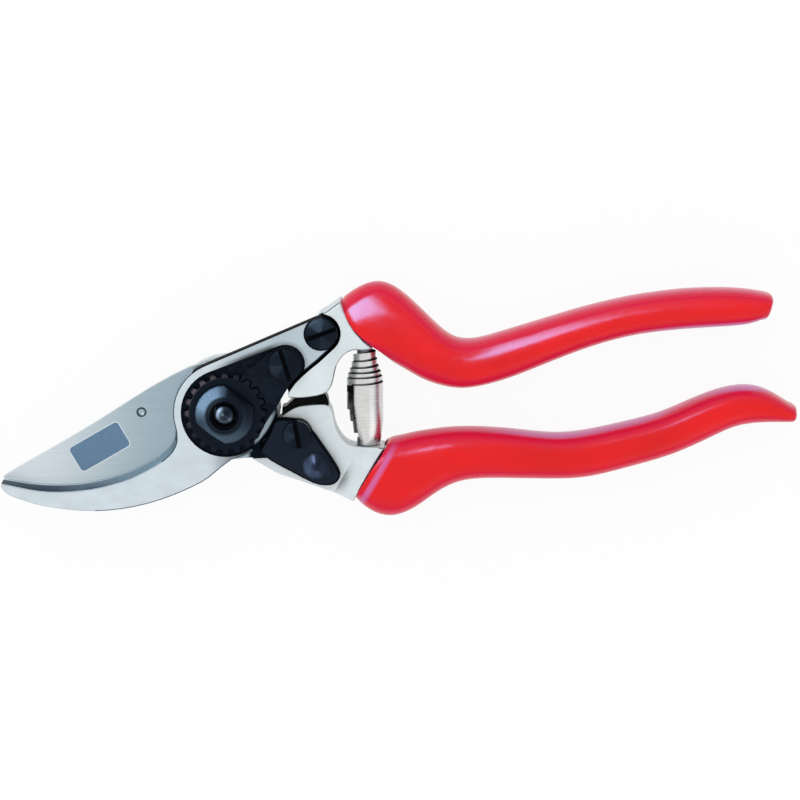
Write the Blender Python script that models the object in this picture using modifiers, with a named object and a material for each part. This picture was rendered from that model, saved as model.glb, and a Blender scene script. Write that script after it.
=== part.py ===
"""Bypass pruning shears with forged aluminium handles, in metres.

The shears lie flat on the floor. The pivot axis is the Z axis, +X runs to the handle ends and
z = 0 is the back face of the pivot bolt's head. The upper handle carries the hook blade in
front, and the lower handle carries the cutting blade behind it. An adjusting nut, held by a
toothed segment, sets the play of the pivot. A volute spring opens the handles and a thumb
lever locks them.
"""

import math

import bmesh
import bpy
from mathutils import Matrix, Vector

# Clearances
FIT_GAP = 0.0003          # between pieces that touch or slide on each other
TANG_GAP = 0.0009         # round the hook's tang in its seat
SWEEP_ROOM = 0.0031       # round the lug, for the arm that swings past it

# Layers along the pivot axis, back to front
BOLT_HEAD_HEIGHT = 0.0030
LUG_THICKNESS = 0.0052
BLADE_THICKNESS = 0.0034
HOOK_THICKNESS = 0.0050
POCKET_DEPTH = 0.0015
DISC_THICKNESS = 0.0020
COLLAR_HEIGHT = 0.0040
SEGMENT_THICKNESS = 0.0021
LEVER_THICKNESS = 0.0034

LUG_BACK = BOLT_HEAD_HEIGHT + FIT_GAP
LUG_FRONT = LUG_BACK + LUG_THICKNESS
BLADE_BACK = LUG_FRONT + FIT_GAP
BLADE_FRONT = BLADE_BACK + BLADE_THICKNESS
HOOK_BACK = BLADE_FRONT + FIT_GAP
HOOK_FRONT = HOOK_BACK + HOOK_THICKNESS
POCKET_FLOOR = HOOK_FRONT - POCKET_DEPTH
DISC_BACK = POCKET_FLOOR + FIT_GAP
DISC_FRONT = DISC_BACK + DISC_THICKNESS
COLLAR_FRONT = DISC_FRONT + COLLAR_HEIGHT
SEGMENT_FRONT = DISC_BACK + SEGMENT_THICKNESS
LEVER_BACK = BLADE_FRONT + FIT_GAP
LEVER_FRONT = LEVER_BACK + LEVER_THICKNESS

# Pivot
BOLT_RADIUS = 0.0042
BOLT_THREAD_RADIUS = 0.0028
BOLT_HEAD_RADIUS = 0.0075  # to the hexagon's corners
BOLT_END_SINK = 0.0008    # below the nut's face
BOLT_END_DOME = 0.0009
BUSH_WALL = 0.0014
PIVOT_BORE = BOLT_RADIUS + FIT_GAP
BUSH_RADIUS = PIVOT_BORE + BUSH_WALL

# Screws
SCREW_RADIUS = 0.0021
SCREW_HEAD_HEIGHT = 0.0013
SCREW_DEPTH = 0.0070      # below its seat, in the arm
TANG_SCREW_HEAD_RADIUS = 0.0043
SEGMENT_SCREW_HEAD_RADIUS = 0.0045
LEVER_SCREW_HEAD_RADIUS = 0.0038
HEAD_SINK = 0.0006
SLOT_WIDTH = 0.0012
SLOT_DEPTH = 0.0008
TANG_SLOT_ANGLE = 20.0
SEGMENT_SLOT_ANGLE = -73.0
LEVER_SLOT_ANGLE = -80.0

# Adjusting nut and toothed segment
TOOTH_COUNT = 20
TOOTH_TIP_RADIUS = 0.0111
TOOTH_DEPTH = 0.0013
TOOTH_TIP_ANGLE = 2.8     # half the width of a tooth's tip, degrees
TOOTH_ROOT_ANGLE = 5.2    # half the width of a tooth's root, degrees
COLLAR_RADIUS = 0.0079
COLLAR_FACE_RADIUS = 0.0057
COLLAR_CHAMFER = 0.0022
COUNTERBORE_RADIUS = 0.0039
COUNTERBORE_DEPTH = 0.0016
FLAT_WIDTH = 0.0126
FLAT_DIRECTION = -36.0    # degrees
SEGMENT_START = 8.5       # degrees round the pivot, at the lower end of its teeth
SEGMENT_END = 66.0
SEGMENT_SCREW = (0.0163, 0.0133)
SEGMENT_LAND = 0.0004     # round the screw's head
SEGMENT_BOSS_RADIUS = SEGMENT_SCREW_HEAD_RADIUS + SEGMENT_LAND
SEGMENT_BOSS_SPAN = (-22, 118)  # degrees round the screw
SEGMENT_SHOULDER = [(0.0112, 0.0160), (0.0078, 0.0128)]
SEGMENT_RIM = 0.0028      # behind the last tooth's tip
SEGMENT_RIM_SETBACK = 2.6  # degrees, from the end of its teeth
SEGMENT_INSET = 0.0003    # from the lower edge of the hook's tang
SEGMENT_EDGE_SPAN = (1, 5)  # knots of the tang's lower edge that it follows
MESH_PLAY = 0.00005       # added to the clearance beside each tooth

# Hook blade
POCKET_GAP = 0.0009       # round the nut's teeth
POCKET_BOSS_GAP = 0.0004  # round the segment's screw boss
POCKET_RADIUS = TOOTH_TIP_RADIUS + POCKET_GAP
RING_WALL = 0.0021        # outside the pocket
CATCH_WALL = 0.0007       # outside the pocket, where the thumb lever engages
BOSS_INSET = 0.0001       # behind the tips of the nut's teeth
RING_RADIUS = POCKET_RADIUS + RING_WALL
CATCH_RADIUS = POCKET_RADIUS + CATCH_WALL
BOSS_RADIUS = TOOTH_TIP_RADIUS - BOSS_INSET
RING_END = 186            # degrees
CATCH_SPAN = (-82, -54)
BOSS_SPAN = (-48, -20)
TANG_SCREW = (0.0258, 0.0215)
TANG_LAND = 0.0002        # round the screw's head
TANG_END_RADIUS = TANG_SCREW_HEAD_RADIUS + TANG_LAND
TANG_END_START = -46.0    # degrees round the screw
CHAMFER_WIDTH = 0.0011    # of the ground band on the hook's inner edge
CHAMFER_LAND = 0.0012     # straight part of the inner edge, behind the band
BAND_TIP_SHARE = 0.4      # of the band's width that is left at the tip
BAND_TIP_RUN = 0.15       # share of the edge where the band narrows to the tip
BAND_THROAT_RUN = 0.38    # share of the edge where it fades in from the throat
EDGE_BREAK = 0.0003
HOOK_OUTER_EDGE = [
    (-0.0609, -0.0202), (-0.0602, -0.0214), (-0.0583, -0.0228), (-0.0553, -0.0239),
    (-0.0499, -0.0255), (-0.0392, -0.0269), (-0.0284, -0.0264), (-0.0176, -0.0238),
    (-0.0068, -0.0191), (-0.0014, -0.0150)]
HOOK_INNER_EDGE = [
    (-0.0138, -0.0056), (-0.0144, -0.0084), (-0.0164, -0.0110), (-0.0205, -0.0140),
    (-0.0288, -0.0178), (-0.0396, -0.0202), (-0.0505, -0.0204), (-0.0608, -0.0189)]
INNER_EDGE_ANGLE = 189    # degrees round the pivot, where the inner edge leaves the ring
INNER_STEP_COUNT = 4      # points for each span of the inner edge
TANG_LOWER_EDGE = [
    (0.0110, -0.0026), (0.0140, 0.0018), (0.0159, 0.0051), (0.0183, 0.0086),
    (0.0215, 0.0117), (0.0248, 0.0144)]

# Cutting blade
BYPASS = 0.0026           # how far its edge passes the hook's inner edge when closed
BEVEL_WIDTH = 0.0060
BEVEL_TIP_RUN = 0.25      # share of the edge where the bevel widens from the tip
EDGE_THICKNESS = 0.0003
HIDDEN_SPAN_COUNT = 2     # spans of the hook's inner edge that the blade's edge stops short
EYE_SETBACK = 0.0007      # behind the hook's ring
BLADE_EYE_RADIUS = RING_RADIUS - EYE_SETBACK
EYE_START = -120          # degrees round the pivot, where the edge runs into the eye
EYE_END = 88              # where the blade's back leaves it
HEEL_CENTRE = (0.0112, -0.0092)
HEEL_RADIUS = 0.0037
BLADE_TIP = (-0.0611, -0.0184)
BLADE_SPINE = [
    (-0.0040, 0.0131), (-0.0102, 0.0115), (-0.0211, 0.0057), (-0.0348, -0.0030),
    (-0.0457, -0.0095), (-0.0561, -0.0154)]
DOWEL_INSET = 0.0037      # behind the edge of the blade's eye
DOWEL_ANGLE = 62.4
DOWEL_RADIUS = 0.0013
DOWEL_DEPTH = 0.0030      # in the lug
BLADE_SCREW_RADIUS = 0.0017
BLADE_SCREW_HEAD_RADIUS = 0.0029
BLADE_SCREW_HEAD_HEIGHT = 0.0017

# Handle frames
ARM_BACK = 0.0020
TANG_PROUD = 0.0005       # of the hook above the upper arm
ARM_SHOULDER = 0.0033     # of the lower arm above the blade
UPPER_ARM_FRONT = HOOK_FRONT - TANG_PROUD
LOWER_ARM_FRONT = BLADE_FRONT + ARM_SHOULDER
ARM_EDGE_RADIUS = 0.0009
LUG_OVERHANG = 0.0004     # outside the hook's ring
LUG_RADIUS = RING_RADIUS + LUG_OVERHANG
UPPER_SWEEP_RADIUS = LUG_RADIUS + SWEEP_ROOM
UPPER_SEAT_Y = 0.0169
LOWER_SEAT_Y = -0.0101
UPPER_ARM_UNDERSIDE = [
    (0.0148, 0.0044), (0.0190, 0.0039), (0.0228, 0.0042), (0.0265, 0.0050),
    (0.0284, 0.0068), (0.0292, 0.0092), (0.0300, 0.0127), (0.0318, 0.0155),
    (0.0343, UPPER_SEAT_Y), (0.0372, UPPER_SEAT_Y)]
UPPER_ARM_TOP = [
    (0.0278, 0.0277), (0.0252, 0.0261), (0.0232, 0.0240), (0.0100, 0.0163), (0.0068, 0.0144)]
LOWER_ARM_BOTTOM = [
    (0.0060, -0.0128), (0.0117, -0.0163), (0.0144, -0.0177), (0.0199, -0.0195),
    (0.0253, -0.0214), (0.0307, -0.0232)]
LOWER_ARM_TOP = [
    (0.0392, LOWER_SEAT_Y), (0.0345, LOWER_SEAT_Y), (0.0320, -0.0088),
    (0.0303, -0.0065), (0.0293, -0.0040), (0.0288, -0.0013), (0.0277, 0.0010),
    (0.0253, 0.0014), (0.0199, 0.0009), (0.0172, -0.0003), (0.0152, -0.0018),
    (0.0130, -0.0035)]
ARM_STEP_COUNT = 2        # points for each span of an arm's edge
SPRING_X = UPPER_ARM_UNDERSIDE[-1][0] + FIT_GAP
BLADE_SCREW_SEAT = ARM_BACK + BLADE_SCREW_HEAD_HEIGHT + 2 * FIT_GAP
RAMP_START = 0.0057       # before the grip's mouth
RAMP_RUN = 0.0055

# Grips: (top x, top y, bottom x, bottom y) of each section, mouth first
UPPER_GRIP_RAILS = [
    (0.0313, 0.0303, 0.0413, 0.0164), (0.0353, 0.0333, 0.0465, 0.0123),
    (0.0412, 0.0353, 0.0510, 0.0092), (0.0471, 0.0328, 0.0550, 0.0072),
    (0.0540, 0.0264, 0.0592, 0.0060), (0.0607, 0.0202, 0.0633, 0.0055),
    (0.0670, 0.0192, 0.0685, 0.0060), (0.0743, 0.0211, 0.0772, 0.0084),
    (0.0852, 0.0244, 0.0885, 0.0130), (0.0961, 0.0277, 0.0990, 0.0170),
    (0.1071, 0.0304, 0.1095, 0.0199), (0.1180, 0.0322, 0.1195, 0.0213),
    (0.1289, 0.0331, 0.1300, 0.0221), (0.1398, 0.0329, 0.1405, 0.0228),
    (0.1470, 0.0317, 0.1447, 0.0243)]
LOWER_GRIP_RAILS = [
    (0.0442, -0.0084, 0.0348, -0.0248), (0.0476, -0.0073, 0.0392, -0.0286),
    (0.0515, -0.0063, 0.0452, -0.0300), (0.0555, -0.0057, 0.0515, -0.0274),
    (0.0600, -0.0052, 0.0577, -0.0228), (0.0662, -0.0050, 0.0648, -0.0197),
    (0.0760, -0.0055, 0.0755, -0.0193), (0.0880, -0.0068, 0.0885, -0.0195),
    (0.0965, -0.0063, 0.0985, -0.0190), (0.1071, -0.0041, 0.1100, -0.0161),
    (0.1180, -0.0013, 0.1210, -0.0129), (0.1280, 0.0031, 0.1305, -0.0087),
    (0.1370, 0.0061, 0.1385, -0.0049), (0.1455, 0.0060, 0.1460, -0.0039),
    (0.1533, 0.0014, 0.1533, -0.0037)]
GRIP_THICKNESS = 0.0176
GRIP_REAR_THICKNESS = 0.0156
GRIP_WALL = 0.0015
GRIP_LIP = 0.0009
GRIP_SQUARENESS = 0.78    # 1 is an ellipse, less is squarer
GRIP_SIDE_COUNT = 16
UPPER_MOUTH_BOW = 0.0015  # of the mouth's middle towards the arm
LOWER_MOUTH_BOW = 0.0002
UPPER_ARM_SPAN = (-0.80, 1)  # of the mouth's half width that the arm's end takes up
LOWER_ARM_SPAN = (-1, 0.79)
MOUTH_STEP_COUNT = 5      # along the arm's end
TAIL_ROUNDING = ((0.93, 0.0009), (0.72, 0.0015))  # share of the last section, distance past it
BEND_END_INDEX = 5        # section where the tight bend at the mouth is over
CORE_END_INDEX = 11       # section of the grip where the metal core ends
CORE_ROOT = 0.0030        # length of the core inside the arm
CORE_ROOT_SHARE = 0.6     # of the mouth's section, at the root

# Stop between the arms
STOP_LOWER_INDEX = (6, 10)  # knots of the lower arm's top edge under the stop's ends
STOP_UPPER_INDEX = (1, 3)  # knots of the upper arm's underside over them
STOP_STEM_INDEX = 7       # knot of the lower arm's top edge over the stem
STOP_NOSE = 0.0003
STOP_TAIL = [(0.0174, 0.0021), (0.0161, 0.0009), (0.0151, 0.0006)]
STOP_INSET = 0.0025       # from the arm's back face
STOP_HEIGHT = 0.0072
STOP_STEM_RADIUS = 0.0014
STOP_STEM_LENGTH = 0.0040
STOP_BACK = ARM_BACK + STOP_INSET
STOP_MIDDLE = STOP_BACK + STOP_HEIGHT / 2

# Volute spring between the arms
SPRING_RADIUS = 0.0051
SPRING_Z = (ARM_BACK + LOWER_ARM_FRONT) / 2
STRIP_THICKNESS = 0.00026
STRIP_WIDTH = 0.0112      # of the wide middle wrap
UPPER_TURN_COUNT = 4
LOWER_TURN_COUNT = 3
TURN_STEP_COUNT = 16
END_STRIP_WIDTH = 0.0042
STRIP_LAP = 0.00025       # from the middle to the edges of the narrow wraps
SLOPE_START = 0.10        # turns from the front where the wide wrap starts to narrow
SLOPE_END = 0.18
STUD_RADIUS = 0.0021
STUD_LENGTH = 0.0026
STUD_DEPTH = 0.0036
STUD_ROOM = 0.0008        # from the stud to the middle of the spring's last wrap
SPRING_END_RADIUS = STUD_RADIUS + STUD_ROOM

# Thumb lever, drawn from its own pivot
LEVER_PIVOT = (0.0193, -0.0060)
LEVER_OUTLINE = [
    (-0.0105, -0.0047), (-0.0073, -0.0074), (-0.0019, -0.0104), (0.0042, -0.0136),
    (0.0075, -0.0143), (0.0099, -0.0139), (0.0115, -0.0121), (0.0111, -0.0096),
    (0.0072, -0.0035), (0.0036, 0.0015), (0.0012, 0.0036), (-0.0035, 0.0043),
    (-0.0064, 0.0034), (-0.0075, 0.0006), (-0.0088, -0.0018)]
LEVER_EDGE = 0.0007
PAD_CENTRE = (0.0061, -0.0087)
PAD_LENGTH = 0.0046
PAD_WIDTH = 0.0030
PAD_HEIGHT = 0.0016
PAD_ANGLE = -55.0
WASHER_WIDTH = 0.0010
WASHER_THICKNESS = 0.0005

SMOOTH_ANGLE = 35.0       # degrees; faces that meet at more keep a sharp edge
ROUND_STEP_COUNT = 24
TOOL_OVERRUN = 0.001      # how far a cutter passes the face that it cuts


# ---------------------------------------------------------------- outlines

def polar(centre, radius, degrees):
    """Point at an angle round a centre."""
    angle = math.radians(degrees)
    return (centre[0] + radius * math.cos(angle), centre[1] + radius * math.sin(angle))


def arc(centre, radius, start, end, count):
    """Points along an arc from one angle to another, ends included."""
    return [polar(centre, radius, start + (end - start) * i / count) for i in range(count + 1)]


def curve_through(knots, per_span):
    """Smooth open curve through the knots, which may have any number of coordinates."""
    knots = [Vector(knot) for knot in knots]
    padded = [2 * knots[0] - knots[1]] + knots + [2 * knots[-1] - knots[-2]]
    points = []
    for i in range(1, len(knots)):
        for step in range(per_span):
            points.append(spline_point(padded[i - 1:i + 3], step / per_span))
    points.append(knots[-1])
    return [tuple(point) for point in points]


def spline_point(four, t):
    """Catmull-Rom point between the second and third of four knots."""
    before, start, end, after = four
    linear = (end - before) * t
    square = (2 * before - 5 * start + 4 * end - after) * t * t
    cube = (3 * start - before - 3 * end + after) * t ** 3
    return start + (linear + square + cube) / 2


def offset_outline(outline, distance):
    """Counter-clockwise outline moved outwards by a distance, or inwards if it is negative."""
    moved = []
    count = len(outline)
    for i, here in enumerate(outline):
        towards = (Vector(here) - Vector(outline[i - 1])).normalized()
        away = (Vector(outline[(i + 1) % count]) - Vector(here)).normalized()
        normal = Vector((towards.y + away.y, -towards.x - away.x)).normalized()
        stretch = max(0.5, normal.dot(Vector((towards.y, -towards.x))))
        moved.append(tuple(Vector(here) + normal * distance / stretch))
    return moved


def offset_path(path, distance):
    """Open path moved to its right-hand side, by one distance or by one for each point."""
    distances = distance if isinstance(distance, list) else [distance] * len(path)
    moved = []
    for i, here in enumerate(path):
        before = Vector(path[max(i - 1, 0)])
        after = Vector(path[min(i + 1, len(path) - 1)])
        along = (after - before).normalized()
        moved.append((here[0] + along.y * distances[i], here[1] - along.x * distances[i]))
    return moved


def tangent_angles(first, first_radius, second, second_radius):
    """Where the upper and the lower common tangent touch two circles, in degrees round them."""
    gap = Vector(second) - Vector(first)
    heading = math.degrees(math.atan2(gap.y, gap.x))
    lean = math.degrees(math.asin((first_radius - second_radius) / gap.length))
    return heading + 90 - lean, heading - 90 + lean


def two_circle_outline(first, first_radius, second, second_radius, count):
    """Outline of the belt round two circles, counter-clockwise."""
    upper, lower = tangent_angles(first, first_radius, second, second_radius)
    round_first = arc(first, first_radius, upper, lower + 360, 3 * count)
    return round_first + arc(second, second_radius, lower, upper, count)


def tooth_radius_points(root, tip, tip_angle, root_angle, first, last):
    """Zigzag of teeth, counter-clockwise, for the tooth numbers from first to last."""
    pitch = 360 / TOOTH_COUNT
    points = []
    for number in range(first, last + 1):
        middle = number * pitch
        points.append(polar((0, 0), root, middle - root_angle))
        points.append(polar((0, 0), tip, middle - tip_angle))
        points.append(polar((0, 0), tip, middle + tip_angle))
        points.append(polar((0, 0), root, middle + root_angle))
    return points


# ---------------------------------------------------------------- building

def clear_scene():
    for obj in list(bpy.data.objects):
        bpy.data.objects.remove(obj)


def new_collection(name):
    collection = bpy.data.collections.new(name)
    bpy.context.scene.collection.children.link(collection)
    return collection


def finish(name, colour, roughness, metallic):
    """Principled material; the colour is linear RGB."""
    material = bpy.data.materials.new(name)
    material.use_nodes = True
    shader = material.node_tree.nodes["Principled BSDF"]
    shader.inputs["Base Color"].default_value = (*colour, 1)
    shader.inputs["Roughness"].default_value = roughness
    shader.inputs["Metallic"].default_value = metallic
    return material


def as_part(obj, material):
    """Put an object among the parts, smooth on round surfaces, with its own material."""
    parts.objects.link(obj)
    obj.data.materials.clear()
    obj.data.materials.append(material)
    obj.data.set_sharp_from_angle(angle=math.radians(SMOOTH_ANGLE))
    return obj


def as_tool(obj):
    """Put an object among the cutters."""
    tools.objects.link(obj)
    obj.hide_render = True
    obj.display_type = 'WIRE'
    return obj


def plate(name, outline, bottom, top):
    """Flat piece with the outline's shape between two heights."""
    curve = bpy.data.curves.new(name, 'CURVE')
    curve.dimensions = '2D'
    curve.fill_mode = 'BOTH'
    curve.extrude = (top - bottom) / 2
    spline = curve.splines.new('POLY')
    spline.points.add(len(outline) - 1)
    for point, place in zip(spline.points, outline):
        point.co = (place[0], place[1], 0, 1)
    spline.use_cyclic_u = True
    drawing = bpy.data.objects.new(name, curve)
    drawing.location.z = (top + bottom) / 2
    bpy.context.scene.collection.objects.link(drawing)
    bpy.context.view_layer.update()
    seen = drawing.evaluated_get(bpy.context.evaluated_depsgraph_get())
    mesh = bpy.data.meshes.new_from_object(seen)
    mesh.transform(drawing.matrix_world)
    bpy.data.objects.remove(drawing)
    return clean_object(name, mesh)


def clean_object(name, mesh):
    """Object of a closed mesh, with loose caps welded and faces turned outwards."""
    form = bmesh.new()
    form.from_mesh(mesh)
    bmesh.ops.remove_doubles(form, verts=form.verts, dist=0.000002)
    bmesh.ops.recalc_face_normals(form, faces=form.faces)
    form.to_mesh(mesh)
    form.free()
    return bpy.data.objects.new(name, mesh)


def loft(name, sections):
    """Closed body through sections that have the same number of points."""
    mesh = bpy.data.meshes.new(name)
    form = bmesh.new()
    rings = [[form.verts.new(point) for point in section] for section in sections]
    count = len(rings[0])
    for low, high in zip(rings, rings[1:]):
        for i in range(count):
            j = (i + 1) % count
            form.faces.new((low[i], low[j], high[j], high[i]))
    form.faces.new(rings[0])
    form.faces.new(rings[-1])
    form.to_mesh(mesh)
    form.free()
    return clean_object(name, mesh)


def at_height(outline, height):
    return [(x, y, height) for x, y in outline]


def soft_plate(name, outline, bottom, top, radius, steps):
    """Plate whose edges are rounded on both faces."""
    sections = []
    for side, face in ((1, bottom), (-1, top)):
        turns = range(steps + 1) if side > 0 else range(steps, -1, -1)
        for step in turns:
            angle = math.pi / 2 * step / steps
            inset = radius * (1 - math.sin(angle))
            height = face + side * radius * (1 - math.cos(angle))
            sections.append(at_height(offset_outline(outline, -inset), height))
    return loft(name, sections)


def dome(radius, top, height, count):
    """Profile of a domed end, from its middle out to its rim."""
    angles = [math.pi / 2 * step / count for step in range(count + 1)]
    return [(radius * math.sin(a), top - height * (1 - math.cos(a))) for a in angles]


def turned(name, profile, centre):
    """Turned piece round a vertical axis: (radius, height) from the top down."""
    mesh = bpy.data.meshes.new(name)
    points = [(radius, 0, height) for radius, height in profile]
    mesh.from_pydata(points, [(i, i + 1) for i in range(len(points) - 1)], [])
    obj = bpy.data.objects.new(name, mesh)
    obj.location = (centre[0], centre[1], 0)
    turn = obj.modifiers.new("Turn", 'SCREW')
    turn.steps = ROUND_STEP_COUNT
    turn.render_steps = ROUND_STEP_COUNT
    turn.use_merge_vertices = True
    turn.merge_threshold = 0.00001
    return obj


def cylinder(name, radius, start, end, vertices=ROUND_STEP_COUNT):
    """Cylinder from one point to another."""
    start = Vector(start)
    axis = Vector(end) - start
    mesh = bpy.data.meshes.new(name)
    form = bmesh.new()
    turn = axis.to_track_quat('Z', 'Y').to_matrix().to_4x4()
    place = Matrix.Translation(start + axis / 2) @ turn
    bmesh.ops.create_cone(form, cap_ends=True, segments=vertices, radius1=radius,
                          radius2=radius, depth=axis.length, matrix=place)
    form.to_mesh(mesh)
    form.free()
    return bpy.data.objects.new(name, mesh)


def box(name, centre, size, angle=0):
    """Box, turned about the vertical by an angle in degrees."""
    mesh = bpy.data.meshes.new(name)
    form = bmesh.new()
    turn = Matrix.Rotation(math.radians(angle), 4, 'Z')
    place = Matrix.Translation(Vector(centre)) @ turn @ Matrix.Diagonal((*size, 1))
    bmesh.ops.create_cube(form, size=1, matrix=place)
    form.to_mesh(mesh)
    form.free()
    return bpy.data.objects.new(name, mesh)


def boolean(obj, tool, operation):
    step = obj.modifiers.new(tool.name, 'BOOLEAN')
    step.operation = operation
    step.object = tool
    step.solver = 'EXACT'


def cut(obj, *cutters):
    for tool in cutters:
        boolean(obj, as_tool(tool), 'DIFFERENCE')


def add(obj, *others):
    for tool in others:
        boolean(obj, as_tool(tool), 'UNION')


def round_edges(obj, width, segments):
    bevel = obj.modifiers.new("Round edges", 'BEVEL')
    bevel.width = width
    bevel.segments = segments
    bevel.limit_method = 'ANGLE'
    bevel.angle_limit = math.radians(50)


def bore(name, radius, centre, bottom, top, vertices=ROUND_STEP_COUNT):
    """Upright cylinder between two heights."""
    return cylinder(name, radius, (*centre, bottom), (*centre, top), vertices)


# ---------------------------------------------------------------- hook blade

def hook_inner_path():
    """Inner edge, from the ring to the tip."""
    leaving = polar((0, 0), RING_RADIUS, INNER_EDGE_ANGLE)
    return curve_through([leaving] + HOOK_INNER_EDGE, INNER_STEP_COUNT)


def hook_outline(band):
    """Outline of the hook, its inner edge set back by the width of the ground band."""
    inner = hook_inner_path()
    last = len(inner) - 1
    widths = []
    for i in range(last + 1):
        from_throat = min(1, i / last / BAND_THROAT_RUN)
        from_tip = min(1, BAND_TIP_SHARE + (1 - BAND_TIP_SHARE) * (last - i) / last / BAND_TIP_RUN)
        widths.append(-band * math.sin(math.pi / 2 * from_throat) * from_tip)
    catch = arc((0, 0), CATCH_RADIUS, *CATCH_SPAN, 6)
    outer = curve_through(HOOK_OUTER_EDGE + catch[:1], 3)[:-1]
    boss = arc((0, 0), BOSS_RADIUS, *BOSS_SPAN, 5)
    tang_low = curve_through(TANG_LOWER_EDGE, 2)
    upper = tangent_angles((0, 0), RING_RADIUS, TANG_SCREW, TANG_END_RADIUS)[0]
    tang_end = arc(TANG_SCREW, TANG_END_RADIUS, TANG_END_START, upper, 12)
    ring = arc((0, 0), RING_RADIUS, upper, RING_END, 9)
    return outer + catch + boss + tang_low + tang_end + ring + offset_path(inner, widths)


def hook_pocket_outline():
    """Pocket for the nut's disc and the toothed segment."""
    boss = SEGMENT_BOSS_RADIUS + POCKET_BOSS_GAP
    return two_circle_outline((0, 0), POCKET_RADIUS, SEGMENT_SCREW, boss, 10)


def make_hook_blade(material):
    straight = hook_outline(0)
    ground = hook_outline(CHAMFER_WIDTH)
    hook = loft("hook_blade", [
        at_height(straight, HOOK_BACK),
        at_height(straight, HOOK_BACK + CHAMFER_LAND),
        at_height(ground, HOOK_FRONT - EDGE_BREAK),
        at_height(offset_outline(ground, -EDGE_BREAK), HOOK_FRONT)])
    pocket = plate("hook_pocket", hook_pocket_outline(), POCKET_FLOOR, HOOK_FRONT + TOOL_OVERRUN)
    below = HOOK_BACK - TOOL_OVERRUN
    above = HOOK_FRONT + TOOL_OVERRUN
    segment_hole = bore("segment_screw_hole", SCREW_RADIUS + FIT_GAP, SEGMENT_SCREW, below, above)
    tang_hole = bore("tang_screw_hole", SCREW_RADIUS + FIT_GAP, TANG_SCREW, below, above)
    sink = bore("tang_screw_sink", TANG_SCREW_HEAD_RADIUS + FIT_GAP, TANG_SCREW,
                HOOK_FRONT - HEAD_SINK, above)
    pivot_hole = bore("hook_pivot_hole", PIVOT_BORE, (0, 0), below, above)
    cut(hook, pocket, pivot_hole, segment_hole, tang_hole, sink)
    return as_part(hook, material)


# ---------------------------------------------------------------- cutting blade

def blade_outline(bevel):
    """Outline of the blade, its cutting edge drawn in by the width of the bevel."""
    inner = hook_inner_path()[:HIDDEN_SPAN_COUNT * INNER_STEP_COUNT - 1:-1]
    last = len(inner) - 1
    reach = [(BYPASS - bevel) * min(1, i / last / BEVEL_TIP_RUN) for i in range(last + 1)]
    edge = offset_path(inner, reach)
    upper, lower = tangent_angles((0, 0), BLADE_EYE_RADIUS, HEEL_CENTRE, HEEL_RADIUS)
    belly = arc((0, 0), BLADE_EYE_RADIUS, EYE_START, lower, 5)
    heel = arc(HEEL_CENTRE, HEEL_RADIUS, lower, upper, 8)
    eye = arc((0, 0), BLADE_EYE_RADIUS, upper, EYE_END, 8)
    spine = curve_through(eye[-1:] + BLADE_SPINE + [BLADE_TIP], 2)
    return edge + belly + heel + eye[:-1] + spine


def dowel_place():
    return polar((0, 0), BLADE_EYE_RADIUS - DOWEL_INSET, DOWEL_ANGLE)


def make_cutting_blade(material):
    full = blade_outline(0)
    ground = blade_outline(BEVEL_WIDTH)
    blade = loft("cutting_blade", [
        at_height(ground, BLADE_BACK),
        at_height(full, BLADE_FRONT - EDGE_THICKNESS),
        at_height(full, BLADE_FRONT)])
    below = BLADE_BACK - TOOL_OVERRUN
    above = BLADE_FRONT + TOOL_OVERRUN
    cut(blade,
        bore("blade_pivot_hole", PIVOT_BORE, (0, 0), below, above),
        bore("blade_dowel_hole", DOWEL_RADIUS + FIT_GAP, dowel_place(), below, above),
        bore("blade_screw_hole", BLADE_SCREW_RADIUS + FIT_GAP, HEEL_CENTRE, below, above))
    return as_part(blade, material)


def make_blade_dowel(material):
    """Pin that keeps the blade from turning on the lug."""
    start = (*dowel_place(), LUG_FRONT - DOWEL_DEPTH + FIT_GAP)
    end = (*dowel_place(), BLADE_FRONT)
    return as_part(cylinder("blade_dowel", DOWEL_RADIUS, start, end, 16), material)


def make_blade_screw(material):
    """Screw from the back of the handle into the blade's heel."""
    under = BLADE_SCREW_SEAT - FIT_GAP
    back = under - BLADE_SCREW_HEAD_HEIGHT
    profile = [(0, BLADE_FRONT), (BLADE_SCREW_RADIUS, BLADE_FRONT), (BLADE_SCREW_RADIUS, under),
               (BLADE_SCREW_HEAD_RADIUS, under),
               (BLADE_SCREW_HEAD_RADIUS, back + EDGE_BREAK),
               (BLADE_SCREW_HEAD_RADIUS - EDGE_BREAK, back), (0, back)]
    screw = turned("blade_screw", profile, HEEL_CENTRE)
    slot = box("blade_screw_slot", (*HEEL_CENTRE, back),
               (3 * BLADE_SCREW_HEAD_RADIUS, SLOT_WIDTH, 2 * SLOT_DEPTH), TANG_SLOT_ANGLE)
    cut(screw, slot)
    return as_part(screw, material)


# ---------------------------------------------------------------- pivot

def make_pivot_bolt(material):
    """Shouldered bolt with a domed end and a hexagon head, which has a round bearing face."""
    end = COLLAR_FRONT - BOLT_END_SINK
    face_radius = BOLT_HEAD_RADIUS * math.cos(math.radians(30)) - EDGE_BREAK
    profile = dome(BOLT_THREAD_RADIUS, end, BOLT_END_DOME, 4) + [
        (BOLT_THREAD_RADIUS, POCKET_FLOOR), (BOLT_RADIUS, POCKET_FLOOR),
        (BOLT_RADIUS, BOLT_HEAD_HEIGHT / 2), (face_radius, BOLT_HEAD_HEIGHT / 2),
        (face_radius, 0), (0, 0)]
    bolt = turned("pivot_bolt", profile, (0, 0))
    head = cylinder("bolt_hexagon", BOLT_HEAD_RADIUS, (0, 0, EDGE_BREAK),
                    (0, 0, BOLT_HEAD_HEIGHT), 6)
    add(bolt, head)
    return as_part(bolt, material)


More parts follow.
